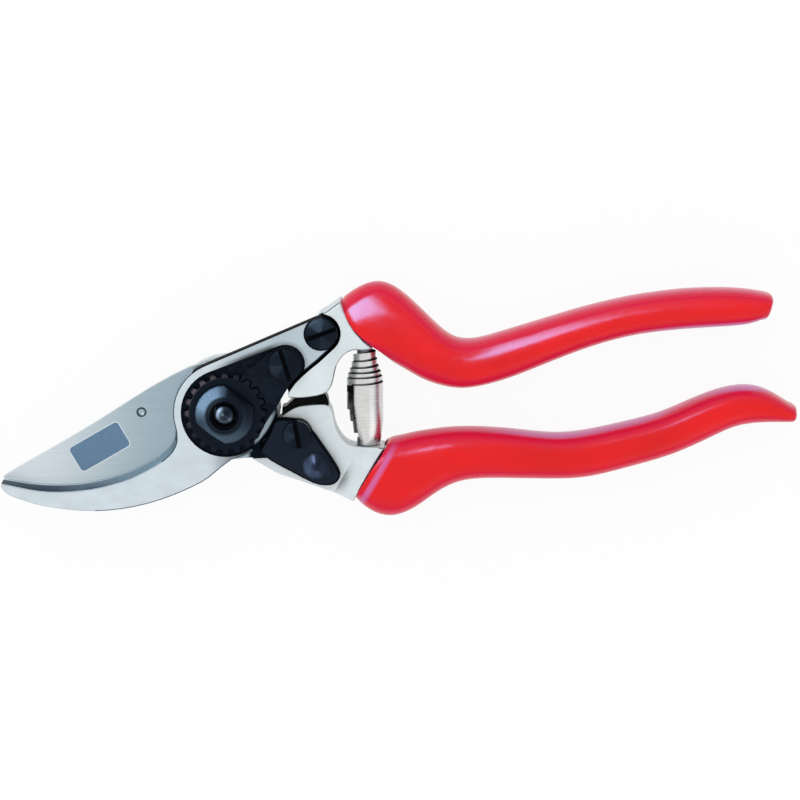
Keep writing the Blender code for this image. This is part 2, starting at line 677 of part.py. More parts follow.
def make_pivot_bush(material):
    """Bearing of the bolt in the lug."""
    profile = [(PIVOT_BORE, LUG_BACK), (PIVOT_BORE, LUG_FRONT), (BUSH_RADIUS, LUG_FRONT),
               (BUSH_RADIUS, LUG_BACK), (PIVOT_BORE, LUG_BACK)]
    return as_part(turned("pivot_bush", profile, (0, 0)), material)


def make_adjusting_nut(material):
    """Toothed disc with a chamfered collar that has two flats and a counterbore."""
    root = TOOTH_TIP_RADIUS - TOOTH_DEPTH
    teeth = tooth_radius_points(root, TOOTH_TIP_RADIUS, TOOTH_TIP_ANGLE, TOOTH_ROOT_ANGLE,
                                0, TOOTH_COUNT - 1)
    disc = plate("adjusting_nut", teeth, DISC_BACK, DISC_FRONT)
    foot = (DISC_BACK + DISC_FRONT) / 2
    collar = turned("nut_collar", [
        (0, COLLAR_FRONT), (COLLAR_FACE_RADIUS, COLLAR_FRONT),
        (COLLAR_RADIUS, COLLAR_FRONT - COLLAR_CHAMFER), (COLLAR_RADIUS, foot), (0, foot)], (0, 0))
    height = COLLAR_HEIGHT + TOOL_OVERRUN
    for name, side in (("nut_flat_low", -90), ("nut_flat_high", 90)):
        place = polar((0, 0), (FLAT_WIDTH + COLLAR_RADIUS) / 2, FLAT_DIRECTION + side)
        cut(collar, box(name, (*place, DISC_FRONT + height / 2),
                        (3 * COLLAR_RADIUS, COLLAR_RADIUS, height), FLAT_DIRECTION))
    add(disc, collar)
    cut(disc,
        bore("nut_counterbore", COUNTERBORE_RADIUS, (0, 0),
             COLLAR_FRONT - COUNTERBORE_DEPTH, COLLAR_FRONT + TOOL_OVERRUN),
        bore("nut_thread", BOLT_THREAD_RADIUS + FIT_GAP, (0, 0),
             DISC_BACK - TOOL_OVERRUN, COLLAR_FRONT + TOOL_OVERRUN))
    return as_part(disc, material)


def segment_outline():
    """Inner teeth that mesh with the nut, then round the screw boss."""
    pitch = 360 / TOOTH_COUNT
    widen = math.degrees((FIT_GAP + MESH_PLAY) / TOOTH_TIP_RADIUS)
    root = TOOTH_TIP_RADIUS - TOOTH_DEPTH + FIT_GAP
    tip = TOOTH_TIP_RADIUS + FIT_GAP
    valleys = tooth_radius_points(root, tip, TOOTH_TIP_ANGLE + widen, TOOTH_ROOT_ANGLE + widen,
                                  round(SEGMENT_START / pitch + 0.5), int(SEGMENT_END / pitch))
    inner = [polar((0, 0), root, SEGMENT_START), *valleys, polar((0, 0), root, SEGMENT_END)]
    inner.reverse()
    beside = TANG_LOWER_EDGE[SEGMENT_EDGE_SPAN[0]:SEGMENT_EDGE_SPAN[1]]
    low = offset_path(curve_through(beside, 2)[:-1], -SEGMENT_INSET)
    boss = arc(SEGMENT_SCREW, SEGMENT_BOSS_RADIUS, *SEGMENT_BOSS_SPAN, 12)
    rim = polar((0, 0), TOOTH_TIP_RADIUS + SEGMENT_RIM, SEGMENT_END - SEGMENT_RIM_SETBACK)
    return inner + low + boss + SEGMENT_SHOULDER + [rim]


def make_toothed_segment(material):
    segment = plate("toothed_segment", segment_outline(), DISC_BACK, SEGMENT_FRONT)
    hole = bore("segment_hole", SCREW_RADIUS + FIT_GAP, SEGMENT_SCREW,
                DISC_BACK - TOOL_OVERRUN, SEGMENT_FRONT + TOOL_OVERRUN)
    cut(segment, hole)
    return as_part(segment, material)


def make_slotted_screw(name, centre, head_radius, seat, foot, angle, material):
    """Cheese-head screw: the head's underside lies on the seat."""
    under = seat + FIT_GAP
    top = under + SCREW_HEAD_HEIGHT
    profile = dome(head_radius - EDGE_BREAK, top + EDGE_BREAK, EDGE_BREAK, 2) + [
        (head_radius, top - EDGE_BREAK), (head_radius, under), (SCREW_RADIUS, under),
        (SCREW_RADIUS, foot), (0, foot)]
    screw = turned(name, profile, centre)
    depth = SLOT_DEPTH + EDGE_BREAK + TOOL_OVERRUN
    slot = box(name + "_slot", (*centre, top - SLOT_DEPTH + depth / 2),
               (3 * head_radius, SLOT_WIDTH, depth), angle)
    cut(screw, slot)
    return as_part(screw, material)


# ---------------------------------------------------------------- grips and cores

def grip_rings(rails, places, inset):
    """Rings of a grip at places along its rails, drawn in from the skin."""
    padded = [Vector(row) for row in [rails[0]] + list(rails) + [rails[-1]]]
    rows = []
    for place in places:
        index = min(int(place), len(rails) - 2)
        rows.append(spline_point(padded[index:index + 4], place - index))
    tops = offset_path([(row[0], row[1]) for row in rows], inset)
    bottoms = offset_path([(row[2], row[3]) for row in rows], -inset)
    rings = []
    for place, top, bottom in zip(places, tops, bottoms):
        share = place / (len(rails) - 1)
        depth = GRIP_THICKNESS + (GRIP_REAR_THICKNESS - GRIP_THICKNESS) * share
        rings.append(squared_ring(Vector(top), Vector(bottom), depth / 2, depth / 2 - inset))
    return rings


def squared_ring(top, bottom, height, half_depth):
    """Rounded, slightly squared section across a grip."""
    centre = (top + bottom) / 2
    half_width = (top - bottom) / 2
    ring = []
    for i in range(GRIP_SIDE_COUNT):
        angle = 2 * math.pi * i / GRIP_SIDE_COUNT
        out = math.copysign(abs(math.cos(angle)) ** GRIP_SQUARENESS, math.cos(angle))
        up = math.copysign(abs(math.sin(angle)) ** GRIP_SQUARENESS, math.sin(angle))
        flat = centre + half_width * out
        ring.append(Vector((flat.x, flat.y, height + up * half_depth)))
    return ring


def moved_ring(ring, share, shift):
    """Ring scaled about its middle and moved towards the handle's end."""
    middle = sum(ring, Vector()) / len(ring)
    across = (ring[0] - middle).normalized()
    along = Vector((across.y, -across.x, 0))
    return [middle + (point - middle) * share + along * shift for point in ring]


def grip_places(last):
    """Sections every half step, from the mouth."""
    return [step / 2 for step in range(2 * last + 1)]


def inner_places():
    """Sections of the cavity and the core: every half step in the bend, then whole steps."""
    return grip_places(BEND_END_INDEX) + list(range(BEND_END_INDEX + 1, CORE_END_INDEX + 1))


def make_grip(name, rails, bow, material):
    """Soft sleeve: a sock-shaped body, from its inner end out over the mouth to its tail."""
    cavity = grip_rings(rails, inner_places(), GRIP_WALL)
    cavity.append(moved_ring(cavity[-1], 1, 2 * FIT_GAP))
    skin = grip_rings(rails, grip_places(len(rails) - 1), 0)
    lip = bowed(moved_ring(skin[0], 1 - GRIP_LIP / GRIP_THICKNESS, 0), rails, bow)
    tail = [moved_ring(skin[-1], share, shift) for share, shift in TAIL_ROUNDING]
    skin[0] = bowed(moved_ring(skin[0], 1, GRIP_LIP / 2), rails, bow)
    cavity[0] = bowed(cavity[0], rails, bow)
    return as_part(loft(name, cavity[::-1] + [lip] + skin + tail), material)


def core(name, rails):
    """Metal bar inside a grip, rooted in its arm."""
    rings = grip_rings(rails, inner_places(), GRIP_WALL + FIT_GAP)
    return loft(name, [moved_ring(rings[0], CORE_ROOT_SHARE, -CORE_ROOT)] + rings)


def mouth_axes(rails):
    """Middle of a grip's mouth, half of its width and the direction towards the arm."""
    top = Vector(rails[0][:2])
    bottom = Vector(rails[0][2:])
    half = (top - bottom) / 2
    return (top + bottom) / 2, half, Vector((-half.y, half.x)).normalized()


def bowed(points, rails, bow):
    """Points at a grip's mouth moved towards the arm, most in the middle of the mouth."""
    middle, half, back = mouth_axes(rails)
    moved = []
    for point in points:
        across = (Vector(point[:2]) - middle).dot(half) / half.length_squared
        shift = back * bow * (1 - across ** 2)
        moved.append(Vector((point[0] + shift.x, point[1] + shift.y, *point[2:])))
    return moved


def mouth_line(rails, bow, span):
    """End of the arm at a grip's mouth, from its lower corner to the upper one."""
    middle, half, back = mouth_axes(rails)
    low, high = span
    steps = [low + (high - low) * i / MOUTH_STEP_COUNT for i in range(MOUTH_STEP_COUNT + 1)]
    straight = [middle + half * step + back * FIT_GAP for step in steps]
    return [tuple(point) for point in bowed(straight, rails, bow)]


# ---------------------------------------------------------------- handle frames

def make_upper_frame(material):
    """Arm with a seat for the hook's tang, and the core of the upper grip."""
    outline = (curve_through(UPPER_ARM_UNDERSIDE, ARM_STEP_COUNT)
               + mouth_line(UPPER_GRIP_RAILS, UPPER_MOUTH_BOW, UPPER_ARM_SPAN)
               + curve_through(UPPER_ARM_TOP, ARM_STEP_COUNT))
    frame = soft_plate("upper_handle_frame", outline, ARM_BACK, UPPER_ARM_FRONT,
                       ARM_EDGE_RADIUS, 2)
    add(frame, core("upper_core", UPPER_GRIP_RAILS))
    seat = plate("tang_seat", offset_outline(hook_outline(0), TANG_GAP),
                 HOOK_BACK - FIT_GAP, HOOK_FRONT + TOOL_OVERRUN)
    hole = bore("tang_thread", SCREW_RADIUS + FIT_GAP, TANG_SCREW,
                HOOK_BACK - SCREW_DEPTH - FIT_GAP, HOOK_FRONT)
    sweep = bore("lug_sweep", UPPER_SWEEP_RADIUS, (0, 0), 0, HOOK_FRONT, 2 * ROUND_STEP_COUNT)
    cut(frame, sweep, seat, hole, stud_hole("upper_stud_hole", UPPER_SEAT_Y, 1))
    return as_part(frame, material)


def make_lower_frame(material):
    """Arm with the pivot lug, the seat of the blade, and the core of the lower grip."""
    mouth = mouth_line(LOWER_GRIP_RAILS, LOWER_MOUTH_BOW, LOWER_ARM_SPAN)
    outline = (curve_through(LOWER_ARM_BOTTOM, ARM_STEP_COUNT) + mouth
               + curve_through(LOWER_ARM_TOP, ARM_STEP_COUNT))
    frame = soft_plate("lower_handle_frame", outline, ARM_BACK, LOWER_ARM_FRONT,
                       ARM_EDGE_RADIUS, 2)
    add(frame, core("lower_core", LOWER_GRIP_RAILS), bore(
        "lug", LUG_RADIUS, (0, 0), LUG_BACK, LUG_FRONT))
    cut(frame, lever_bed(mouth[-1], mouth[0]))
    blade_seat = plate("blade_seat", offset_outline(blade_outline(0), FIT_GAP),
                       LUG_FRONT, LOWER_ARM_FRONT)
    cut(frame, blade_seat,
        bore("bolt_head_room", BOLT_HEAD_RADIUS + FIT_GAP, (0, 0), -TOOL_OVERRUN, LUG_BACK),
        bore("bush_seat", BUSH_RADIUS + FIT_GAP, (0, 0), 0, BLADE_FRONT),
        bore("dowel_seat", DOWEL_RADIUS + FIT_GAP, dowel_place(),
             LUG_FRONT - DOWEL_DEPTH, BLADE_BACK),
        bore("blade_screw_way", BLADE_SCREW_RADIUS + FIT_GAP, HEEL_CENTRE, 0, BLADE_BACK),
        bore("blade_screw_sink", BLADE_SCREW_HEAD_RADIUS + FIT_GAP, HEEL_CENTRE,
             0, BLADE_SCREW_SEAT),
        bore("lever_thread", SCREW_RADIUS + FIT_GAP, LEVER_PIVOT,
             BLADE_FRONT - SCREW_DEPTH - FIT_GAP, BLADE_FRONT + TOOL_OVERRUN),
        bore("washer_seat", SCREW_RADIUS + 3 * FIT_GAP + WASHER_WIDTH, LEVER_PIVOT,
             BLADE_FRONT - WASHER_THICKNESS - FIT_GAP, BLADE_FRONT + TOOL_OVERRUN),
        stop_stem("stop_stem_hole", FIT_GAP),
        stud_hole("lower_stud_hole", LOWER_SEAT_Y, -1))
    return as_part(frame, material)


def lever_bed(top, bottom):
    """Cutter for the low face under the thumb lever, with a ramp up to the grip's mouth."""
    width = Vector(top) - Vector(bottom)
    across = width.normalized()
    away = Vector((-across.y, across.x))
    reach = Vector(bottom).length + LUG_RADIUS
    rise = LOWER_ARM_FRONT + TOOL_OVERRUN - BLADE_FRONT
    slope = RAMP_RUN * rise / (LOWER_ARM_FRONT - BLADE_FRONT)
    sections = []
    for height, back in ((BLADE_FRONT, RAMP_START), (BLADE_FRONT + rise, RAMP_START - slope)):
        low = Vector(bottom) - width + away * back
        high = Vector(top) + width + away * back
        section = [low, high, high + away * reach, low + away * reach]
        sections.append([(*point, height) for point in section])
    return loft("lever_bed", sections)


# ---------------------------------------------------------------- spring and stop

def stud_hole(name, seat_y, side):
    """Cutter for a stud's hole; the side is 1 above the spring and -1 below it."""
    start = (SPRING_X, seat_y - side * TOOL_OVERRUN, SPRING_Z)
    end = (SPRING_X, seat_y + side * (STUD_DEPTH + FIT_GAP), SPRING_Z)
    return cylinder(name, STUD_RADIUS + FIT_GAP, start, end, 20)


def make_spring_stud(name, seat_y, side, material):
    """Peg pressed into an arm, which holds one end of the spring."""
    stud = cylinder(name, STUD_RADIUS, (SPRING_X, seat_y + side * STUD_DEPTH, SPRING_Z),
                    (SPRING_X, seat_y - side * STUD_LENGTH, SPRING_Z), 20)
    round_edges(stud, 2 * EDGE_BREAK, 1)
    return as_part(stud, material)


def make_volute_spring(material):
    """Flat strip wound from its wide middle wrap inwards to both narrow ends."""
    top = UPPER_SEAT_Y - FIT_GAP
    bottom = LOWER_SEAT_Y + FIT_GAP
    middle = (top + bottom) / 2
    sections = []
    for step in range(-LOWER_TURN_COUNT * TURN_STEP_COUNT, UPPER_TURN_COUNT * TURN_STEP_COUNT + 1):
        turn = step / TURN_STEP_COUNT
        turns = UPPER_TURN_COUNT if turn > 0 else LOWER_TURN_COUNT
        share = abs(turn) / turns
        radius = SPRING_RADIUS + (SPRING_END_RADIUS - SPRING_RADIUS) * share
        reach = (top - bottom) / 2
        far = STRIP_WIDTH / 2 + (reach - STRIP_WIDTH / 2) * share
        slope = min(1, max(0, (abs(turn) - SLOPE_START) / (SLOPE_END - SLOPE_START)))
        near = -STRIP_WIDTH / 2 + (STRIP_WIDTH / 2 + STRIP_LAP) * slope
        near += (reach - END_STRIP_WIDTH) * max(0, share - 1 / turns)
        edges = (near, far) if turn > 0 else (-far, -near)
        angle = 2 * math.pi * turn
        out = Vector((math.sin(angle), 0, math.cos(angle)))
        section = []
        for side, edge in ((1, 0), (1, 1), (-1, 1), (-1, 0)):
            spot = out * (radius + side * STRIP_THICKNESS / 2)
            section.append((SPRING_X + spot.x, middle + edges[edge], SPRING_Z + spot.z))
        sections.append(section)
    return as_part(loft("volute_spring", sections), material)


def edge_stretch(knots, stretch):
    """Part of an arm's edge between two of its knots."""
    first, last = [index * ARM_STEP_COUNT for index in stretch]
    return curve_through(knots, ARM_STEP_COUNT)[first:last + 1]


def stop_outline():
    """Outline of the stop, which fills the gap between the arms' edges."""
    low = offset_path(edge_stretch(LOWER_ARM_TOP, STOP_LOWER_INDEX), FIT_GAP)[::-1]
    high = offset_path(edge_stretch(UPPER_ARM_UNDERSIDE, STOP_UPPER_INDEX), FIT_GAP)[::-1]
    right = ((low[-1][0] + high[0][0]) / 2 + STOP_NOSE, (low[-1][1] + high[0][1]) / 2)
    return low + [right] + high + STOP_TAIL


def stop_stem(name, gap):
    """Stem under the middle of the stop, or with a gap the hole for it."""
    x, y = LOWER_ARM_TOP[STOP_STEM_INDEX]
    return cylinder(name, STOP_STEM_RADIUS + gap, (x, y - STOP_STEM_LENGTH - gap, STOP_MIDDLE),
                    (x, y + STOP_STEM_RADIUS, STOP_MIDDLE), 16)


def make_rubber_stop(material):
    """Buffer block on the lower arm, held by a stem in the arm."""
    stop = soft_plate("rubber_stop", stop_outline(), STOP_BACK, STOP_BACK + STOP_HEIGHT,
                      EDGE_BREAK, 1)
    add(stop, stop_stem("stop_stem", 0))
    return as_part(stop, material)


# ---------------------------------------------------------------- thumb lever

def make_lock_lever(material):
    """Thumb lever with a raised pad, which turns on its screw."""
    outline = curve_through(LEVER_OUTLINE + LEVER_OUTLINE[:1], 2)[:-1]
    lever = soft_plate("lock_lever", outline, LEVER_BACK, LEVER_FRONT, LEVER_EDGE, 1)
    pad = bpy.data.meshes.new("thumb_pad")
    form = bmesh.new()
    turn = Matrix.Rotation(math.radians(PAD_ANGLE), 4, 'Z')
    place = Matrix.Translation((*PAD_CENTRE, LEVER_FRONT - EDGE_BREAK)) @ turn
    size = Matrix.Diagonal((PAD_LENGTH, PAD_WIDTH, PAD_HEIGHT, 1))
    bmesh.ops.create_uvsphere(form, u_segments=20, v_segments=10, radius=1, matrix=place @ size)
    form.to_mesh(pad)
    form.free()
    thumb_pad = bpy.data.objects.new("thumb_pad", pad)
    thumb_pad.location = (*LEVER_PIVOT, 0)
    lever.location = (*LEVER_PIVOT, 0)
    add(lever, thumb_pad)
    cut(lever, bore("lever_hole", SCREW_RADIUS + FIT_GAP, LEVER_PIVOT,
                    LEVER_BACK - TOOL_OVERRUN, LEVER_FRONT + TOOL_OVERRUN))
    return as_part(lever, material)


def make_lock_washer(material):
    """Spring washer in the arm, under the lever."""
    top = BLADE_FRONT
    inner = SCREW_RADIUS + 2 * FIT_GAP
    outer = inner + WASHER_WIDTH
    bottom = top - WASHER_THICKNESS
    profile = [(inner, bottom), (inner, top), (outer, top), (outer, bottom), (inner, bottom)]
    return as_part(turned("lock_wave_washer", profile, LEVER_PIVOT), material)


# ---------------------------------------------------------------- assembly

def join_to(parent, *children):
    """Parent objects without moving them."""
    bpy.context.view_layer.update()
    for child in children:
        child.parent = parent
        child.matrix_parent_inverse = parent.matrix_world.inverted()


def axis_empty(name, place):
    empty = bpy.data.objects.new(name, None)
    empty.location = place
    parts.objects.link(empty)
    return empty


def main():
    aluminium = finish("forged aluminium", (0.72, 0.74, 0.75), 0.42, 1.0)
    ground_steel = finish("ground blade steel", (0.56, 0.62, 0.66), 0.32, 1.0)
    hook_steel = finish("hook steel", (0.60, 0.66, 0.70), 0.35, 1.0)
    black_nut = finish("blackened nut steel", (0.018, 0.026, 0.040), 0.38, 0.6)
    black_segment = finish("blackened segment steel", (0.014, 0.018, 0.026), 0.45, 0.6)
    black_screw = finish("blackened screw steel", (0.012, 0.015, 0.020), 0.40, 0.6)
    bolt_steel = finish("bright bolt steel", (0.45, 0.47, 0.50), 0.25, 1.0)
    bronze = finish("bearing bronze", (0.45, 0.30, 0.14), 0.40, 1.0)
    lever_black = finish("black lever", (0.012, 0.016, 0.024), 0.45, 0.2)
    rubber = finish("black rubber", (0.010, 0.010, 0.011), 0.75, 0.0)
    vinyl = finish("red dipped vinyl", (0.72, 0.030, 0.025), 0.30, 0.0)
    nickel = finish("nickel-plated spring steel", (0.66, 0.64, 0.61), 0.18, 1.0)

    upper = make_upper_frame(aluminium)
    hook = make_hook_blade(hook_steel)
    upper_pieces = [
        hook,
        make_grip("upper_grip", UPPER_GRIP_RAILS, UPPER_MOUTH_BOW, vinyl),
        make_toothed_segment(black_segment),
        make_adjusting_nut(black_nut),
        make_pivot_bolt(bolt_steel),
        make_spring_stud("upper_spring_stud", UPPER_SEAT_Y, 1, bolt_steel),
        make_volute_spring(nickel),
        make_slotted_screw("tang_screw", TANG_SCREW, TANG_SCREW_HEAD_RADIUS,
                           HOOK_FRONT - HEAD_SINK, HOOK_BACK - SCREW_DEPTH,
                           TANG_SLOT_ANGLE, black_screw),
        make_slotted_screw("segment_screw", SEGMENT_SCREW, SEGMENT_SCREW_HEAD_RADIUS,
                           SEGMENT_FRONT, HOOK_BACK, SEGMENT_SLOT_ANGLE, black_screw)]
    lower = make_lower_frame(aluminium)
    lower_pieces = [
        lower,
        make_cutting_blade(ground_steel),
        make_blade_dowel(bolt_steel),
        make_blade_screw(black_screw),
        make_pivot_bush(bronze),
        make_grip("lower_grip", LOWER_GRIP_RAILS, LOWER_MOUTH_BOW, vinyl),
        make_rubber_stop(rubber),
        make_spring_stud("lower_spring_stud", LOWER_SEAT_Y, -1, bolt_steel),
        make_lock_washer(bolt_steel),
        make_slotted_screw("lock_screw", LEVER_PIVOT, LEVER_SCREW_HEAD_RADIUS,
                           LEVER_FRONT, BLADE_FRONT - SCREW_DEPTH, LEVER_SLOT_ANGLE,
                           black_screw)]
    lever = make_lock_lever(lever_black)
    main_pivot = axis_empty("main_pivot", (0, 0, 0))
    join_to(upper, *upper_pieces)
    join_to(main_pivot, *lower_pieces)
    join_to(main_pivot, lever)


clear_scene()
parts = new_collection("pruning_shears")
tools = new_collection("pruning_shears_cutters")
main()
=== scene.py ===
"""Finishes, fine edges and a studio for a pair of bypass pruning shears, in metres, +Z up."""

import math

import bpy
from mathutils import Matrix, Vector


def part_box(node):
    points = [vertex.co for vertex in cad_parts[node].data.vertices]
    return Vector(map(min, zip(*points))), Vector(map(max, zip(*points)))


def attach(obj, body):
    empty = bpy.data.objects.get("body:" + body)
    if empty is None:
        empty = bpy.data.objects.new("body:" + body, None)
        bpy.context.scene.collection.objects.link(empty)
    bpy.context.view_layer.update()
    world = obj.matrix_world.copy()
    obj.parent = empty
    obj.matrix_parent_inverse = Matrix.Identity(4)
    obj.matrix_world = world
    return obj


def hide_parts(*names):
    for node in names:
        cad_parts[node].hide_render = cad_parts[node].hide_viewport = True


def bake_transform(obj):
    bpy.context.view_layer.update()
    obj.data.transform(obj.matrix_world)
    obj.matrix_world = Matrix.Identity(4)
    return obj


bl_info = {
    "name": "Pruning Shears",
    "version": (1, 0),
    "blender": (4, 5, 0),
    "location": "3D View > Sidebar > Shears",
    "description": "Dresses a pair of bypass pruning shears and sets up a studio",
    "category": "Object",
}

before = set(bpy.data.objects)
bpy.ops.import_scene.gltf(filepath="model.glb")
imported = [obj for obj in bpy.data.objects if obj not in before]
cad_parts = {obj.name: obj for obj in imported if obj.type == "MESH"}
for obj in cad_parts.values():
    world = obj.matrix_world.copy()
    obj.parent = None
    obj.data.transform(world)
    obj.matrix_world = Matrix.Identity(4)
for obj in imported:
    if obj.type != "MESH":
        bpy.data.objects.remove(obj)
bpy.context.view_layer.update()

MM = 0.001
BLADE_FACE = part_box("cutting_blade")[1].z
ARM_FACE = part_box("upper_handle_frame")[1].z
LEVER_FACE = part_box("lock_lever")[1].z
HOOK_BACK, HOOK_FACE = (corner.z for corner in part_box("hook_blade"))
NUT_BACK, NUT_FACE = (corner.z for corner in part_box("adjusting_nut"))
SHALLOW = 0.1 * MM  # faces less than this below a top still belong to it

# Arms
SEAT_DEPTH = 1 * MM  # the seat under the hook's tang is at least this deep
GRIP_START = 30 * MM  # edges beyond it that look along the grips stay bright

# Hook
BAND_DEPTH = 0.3 * MM  # the ground inner edge lies this far below the face
BAND_END = -8 * MM
POCKET_DEPTHS = (0.2 * MM, 1.7 * MM)
POCKET_SPAN = (-13.5 * MM, 30 * MM)
POCKET_SIDE = (-0.3572, 0.9340, 0)  # square to the straight upper side of the pocket
POCKET_END = (16.3 * MM, 13.3 * MM)
OUTER_LINE_START = -34 * MM
WALL_START = -9 * MM  # the upper walls are painted black, as painted shade, from here on
TANG_START = -4 * MM  # and all walls from here on

# Cutting blade
DIMPLE = (-23.1 * MM, -0.6 * MM)
DIMPLE_BALL = 1.75 * MM  # radius of the ball that cuts it
DIMPLE_BALL_RISE = 1.05 * MM  # of its centre above the face
DIMPLE_WALL = (0.8 * MM, 1.6 * MM)
PATCH = (10.1 * MM, -4.9 * MM, 0)  # where the blade keeps its bright face, in the painted shadow behind the pivot
PATCH_SIDES = (5 * MM, 1 * MM)
PATCH_TURN = math.radians(-57)
PLATE = (-34.6 * MM, -10.1 * MM)
PLATE_TURN = math.radians(30)
PLATE_CORNER = 1.3 * MM
PLATE_RISE = 0.05 * MM
PLATE_RIM = 0.28 * MM
PLATE_SINK = 0.02 * MM  # of the plate's field below its rim

# Grips
UPPER_MOUTH_OUTWARD = (-0.913, -0.407, 0)
LOWER_MOUTH_INWARD = (0.8686, -0.4955, 0)
MOUTH_END = 46 * MM
MOUTH_REACH = 0.45 * MM  # brings the mouths up to the arms' rounded ends
MOUTH_LINE = 0.8  # strength of the painted highlight line behind the lower mouth
SIDE_REFLECTION = 0.18  # strength of the painted lilac reflection away from its own places
# where the vinyl's painted reflections change: what is read, start and end, and how it sets in
VINYL_SHARES = {
    "sheer": ("lean", "Z", 0.999, 0.70, 'SMOOTHSTEP'),
    "back": ("lean", "Y", 0.86, 0.99, 'SMOOTHSTEP'),
    "under": ("lean", "Y", -0.7, -0.95, 'LINEAR'),
    "reach": ("far", "X", 66 * MM, 82 * MM, 'LINEAR'),
    "tail": ("far", "X", 108 * MM, 124 * MM, 'LINEAR'),
    "lower": ("far", "Y", 10 * MM, 8 * MM, 'LINEAR'),
    "upper": ("far", "Y", 8 * MM, 10 * MM, 'LINEAR'),
    "ahead": ("far", "X", 50 * MM, 47 * MM, 'LINEAR'),
    "dip": ("far", "Y", -8 * MM, -12 * MM, 'LINEAR'),
    "start": ("inward", "Value", 43.0 * MM, 43.9 * MM, 'SMOOTHSTEP'),
    "end": ("inward", "Value", 45.6 * MM, 44.3 * MM, 'SMOOTHSTEP'),
}

# Nut and screws
DISC_HEIGHT = 2.2 * MM  # of the toothed disc above the nut's back
COUNTERBORE = 4.5 * MM
SLOT_HALF = 0.65 * MM
SLOT_DEPTH = 1.2 * MM
# body, slot's direction in degrees, and strength of the shine on each side of the slot
SCREWS = {
    "tang_screw": ("upper_half", 20, (0.8, 0.15)),
    "segment_screw": ("upper_half", -73, (0, 0.28)),
    "lock_screw": ("lower_half", -80, (0.02, 0.28)),
    "blade_screw": ("lower_half", 20, (0.8, 0.15)),
}
# small CAD pieces that keep their forms and get a finish
PLAIN_NODES = ("blade_dowel", "upper_spring_stud", "lower_spring_stud", "lock_wave_washer")

# Lever
PAD_HEIGHT = 1.25 * MM
LEVER_PAD = (24.2 * MM, -14.9 * MM)

# Painted shines: (degrees, level) round a centre and (mm, level) outwards from it
SHINE_RADIUS = 12  # in mm, past which no shine is painted
COLLAR_ANGLES = ((-180, 0.40), (-165, 0.24), (-60, 0.16), (-30, 0.09), (0, 0.04), (20, 0.02),
                 (40, 0), (80, 0.01), (95, 0.35), (108, 0.9), (125, 1), (160, 1), (180, 0.40))
COLLAR_RADII = ((0, 0.02), (4.8, 0.04), (5.3, 0.5), (5.8, 1), (7.4, 1), (8.0, 0.4), (8.4, 0))
TOOTH_ANGLES = ((-180, 0.5), (-160, 0.2), (-135, 0.04), (-90, 0.01), (40, 0.02), (70, 0.06),
                (95, 0.25), (115, 0.6), (145, 0.8), (160, 0.6), (180, 0.5))
TOOTH_RADII = ((0, 0), (9.5, 0), (10.0, 1), (10.5, 1), (10.9, 0.1))
BOLT_ANGLES = ((-180, 0.8), (-160, 0.45), (-140, 0.14), (-60, 0.1), (-38, 0.25), (-10, 0.05),
               (40, 0), (95, 0.04), (118, 0.45), (140, 1), (165, 0.95), (180, 0.8))
BOLT_RADII = ((0, 0.3), (0.8, 0.3), (1.1, 0.12), (1.6, 0.9), (2.1, 1), (2.5, 0.4))
SCREW_LOBE = ((0, 0.05), (50, 0.25), (75, 1), (110, 0.8), (135, 0.1))  # from the slot on
SCREW_RADII = ((0, 0.4), (1.5, 1), (3.6, 1), (4.2, 0.6))
PAD_ANGLES = ((-180, 0.28), (-140, 0.3), (-110, 0.22), (-70, 0.2), (-45, 0.05), (60, 0),
              (88, 0.05), (102, 1), (114, 0.4), (130, 0.22), (180, 0.28))
PAD_RADII = ((0, 0.1), (0.8, 0.2), (1.6, 0.9), (2.9, 0.6), (3.6, 0))
# painted shade round the end of the hook's pocket, on the tang
TANG_SHADE_ANGLES = ((-180, 0), (-75, 0), (-50, 0.4), (30, 0.35), (60, 0.6), (120, 0.6), (150, 0),
                (180, 0))
TANG_SHADE_RADII = ((0, 1), (5.3, 1), (6.5, 0))

# Spring: its turns count from the front, upwards or, below 0, down inside the barrel
FIRST_TURN, LAST_TURN = -3, 5.6
TURN_STEPS = 40
# (turn, mm): top edge above the lower end, and radius
SPRING_TOPS = ((-3, 11.5), (0, 16.75), (1, 18.5), (2, 19.8), (3, 21.2), (4, 23.0), (5, 25.3),
               (5.6, 26.1))
SPRING_RADII = ((-3, 3.13), (0, 4.9), (1, 4.7), (2, 4.4), (3, 3.85), (4, 3.35), (5, 2.95),
                (5.6, 2.9))
UPPER_WIDTH = 3.2 * MM  # of the strip above the barrel
INNER_EDGE = 10.4  # in mm, lower edge inside the barrel, and its fall each turn
INNER_FALL = 3.3
BARREL_MIDDLE = 0.24  # the turn that comes down to the lower end as a barrel
BARREL_HALF = 0.38
BARREL_STEP = 0.05
INNER_START = -0.12  # turns before it lie in the barrel's shade
SEAM_START = 1 - 0.14  # turns after it leave the wider one before them
SEAM_HEIGHT = 1.1 * MM  # of the strip that always shows above a seam
SEAM_DARK = (0.22, 0.28)  # in mm, width of the dark line of painted shade, and what its right side adds
SEAM_SHADE = 0.3 * MM
UPPER_ROWS = (0.3, 0.65, 1)
FOOT_HEIGHT = 9 * MM  # below it the barrel narrows and leans back
FOOT_RADIUS = 4.9
FOOT_TAPER = 1.95
FOOT_CURVE = 1.6
FOOT_LEAN = 1.0 * MM

# Stage
MIDDLE = (47.1 * MM, 3.6 * MM, HOOK_FACE)
WHITE, LILAC = (1, 1, 1), (0.10, 0.52, 1.0)
STRIP_PLACE = (-0.16, 0.40, 0.56)
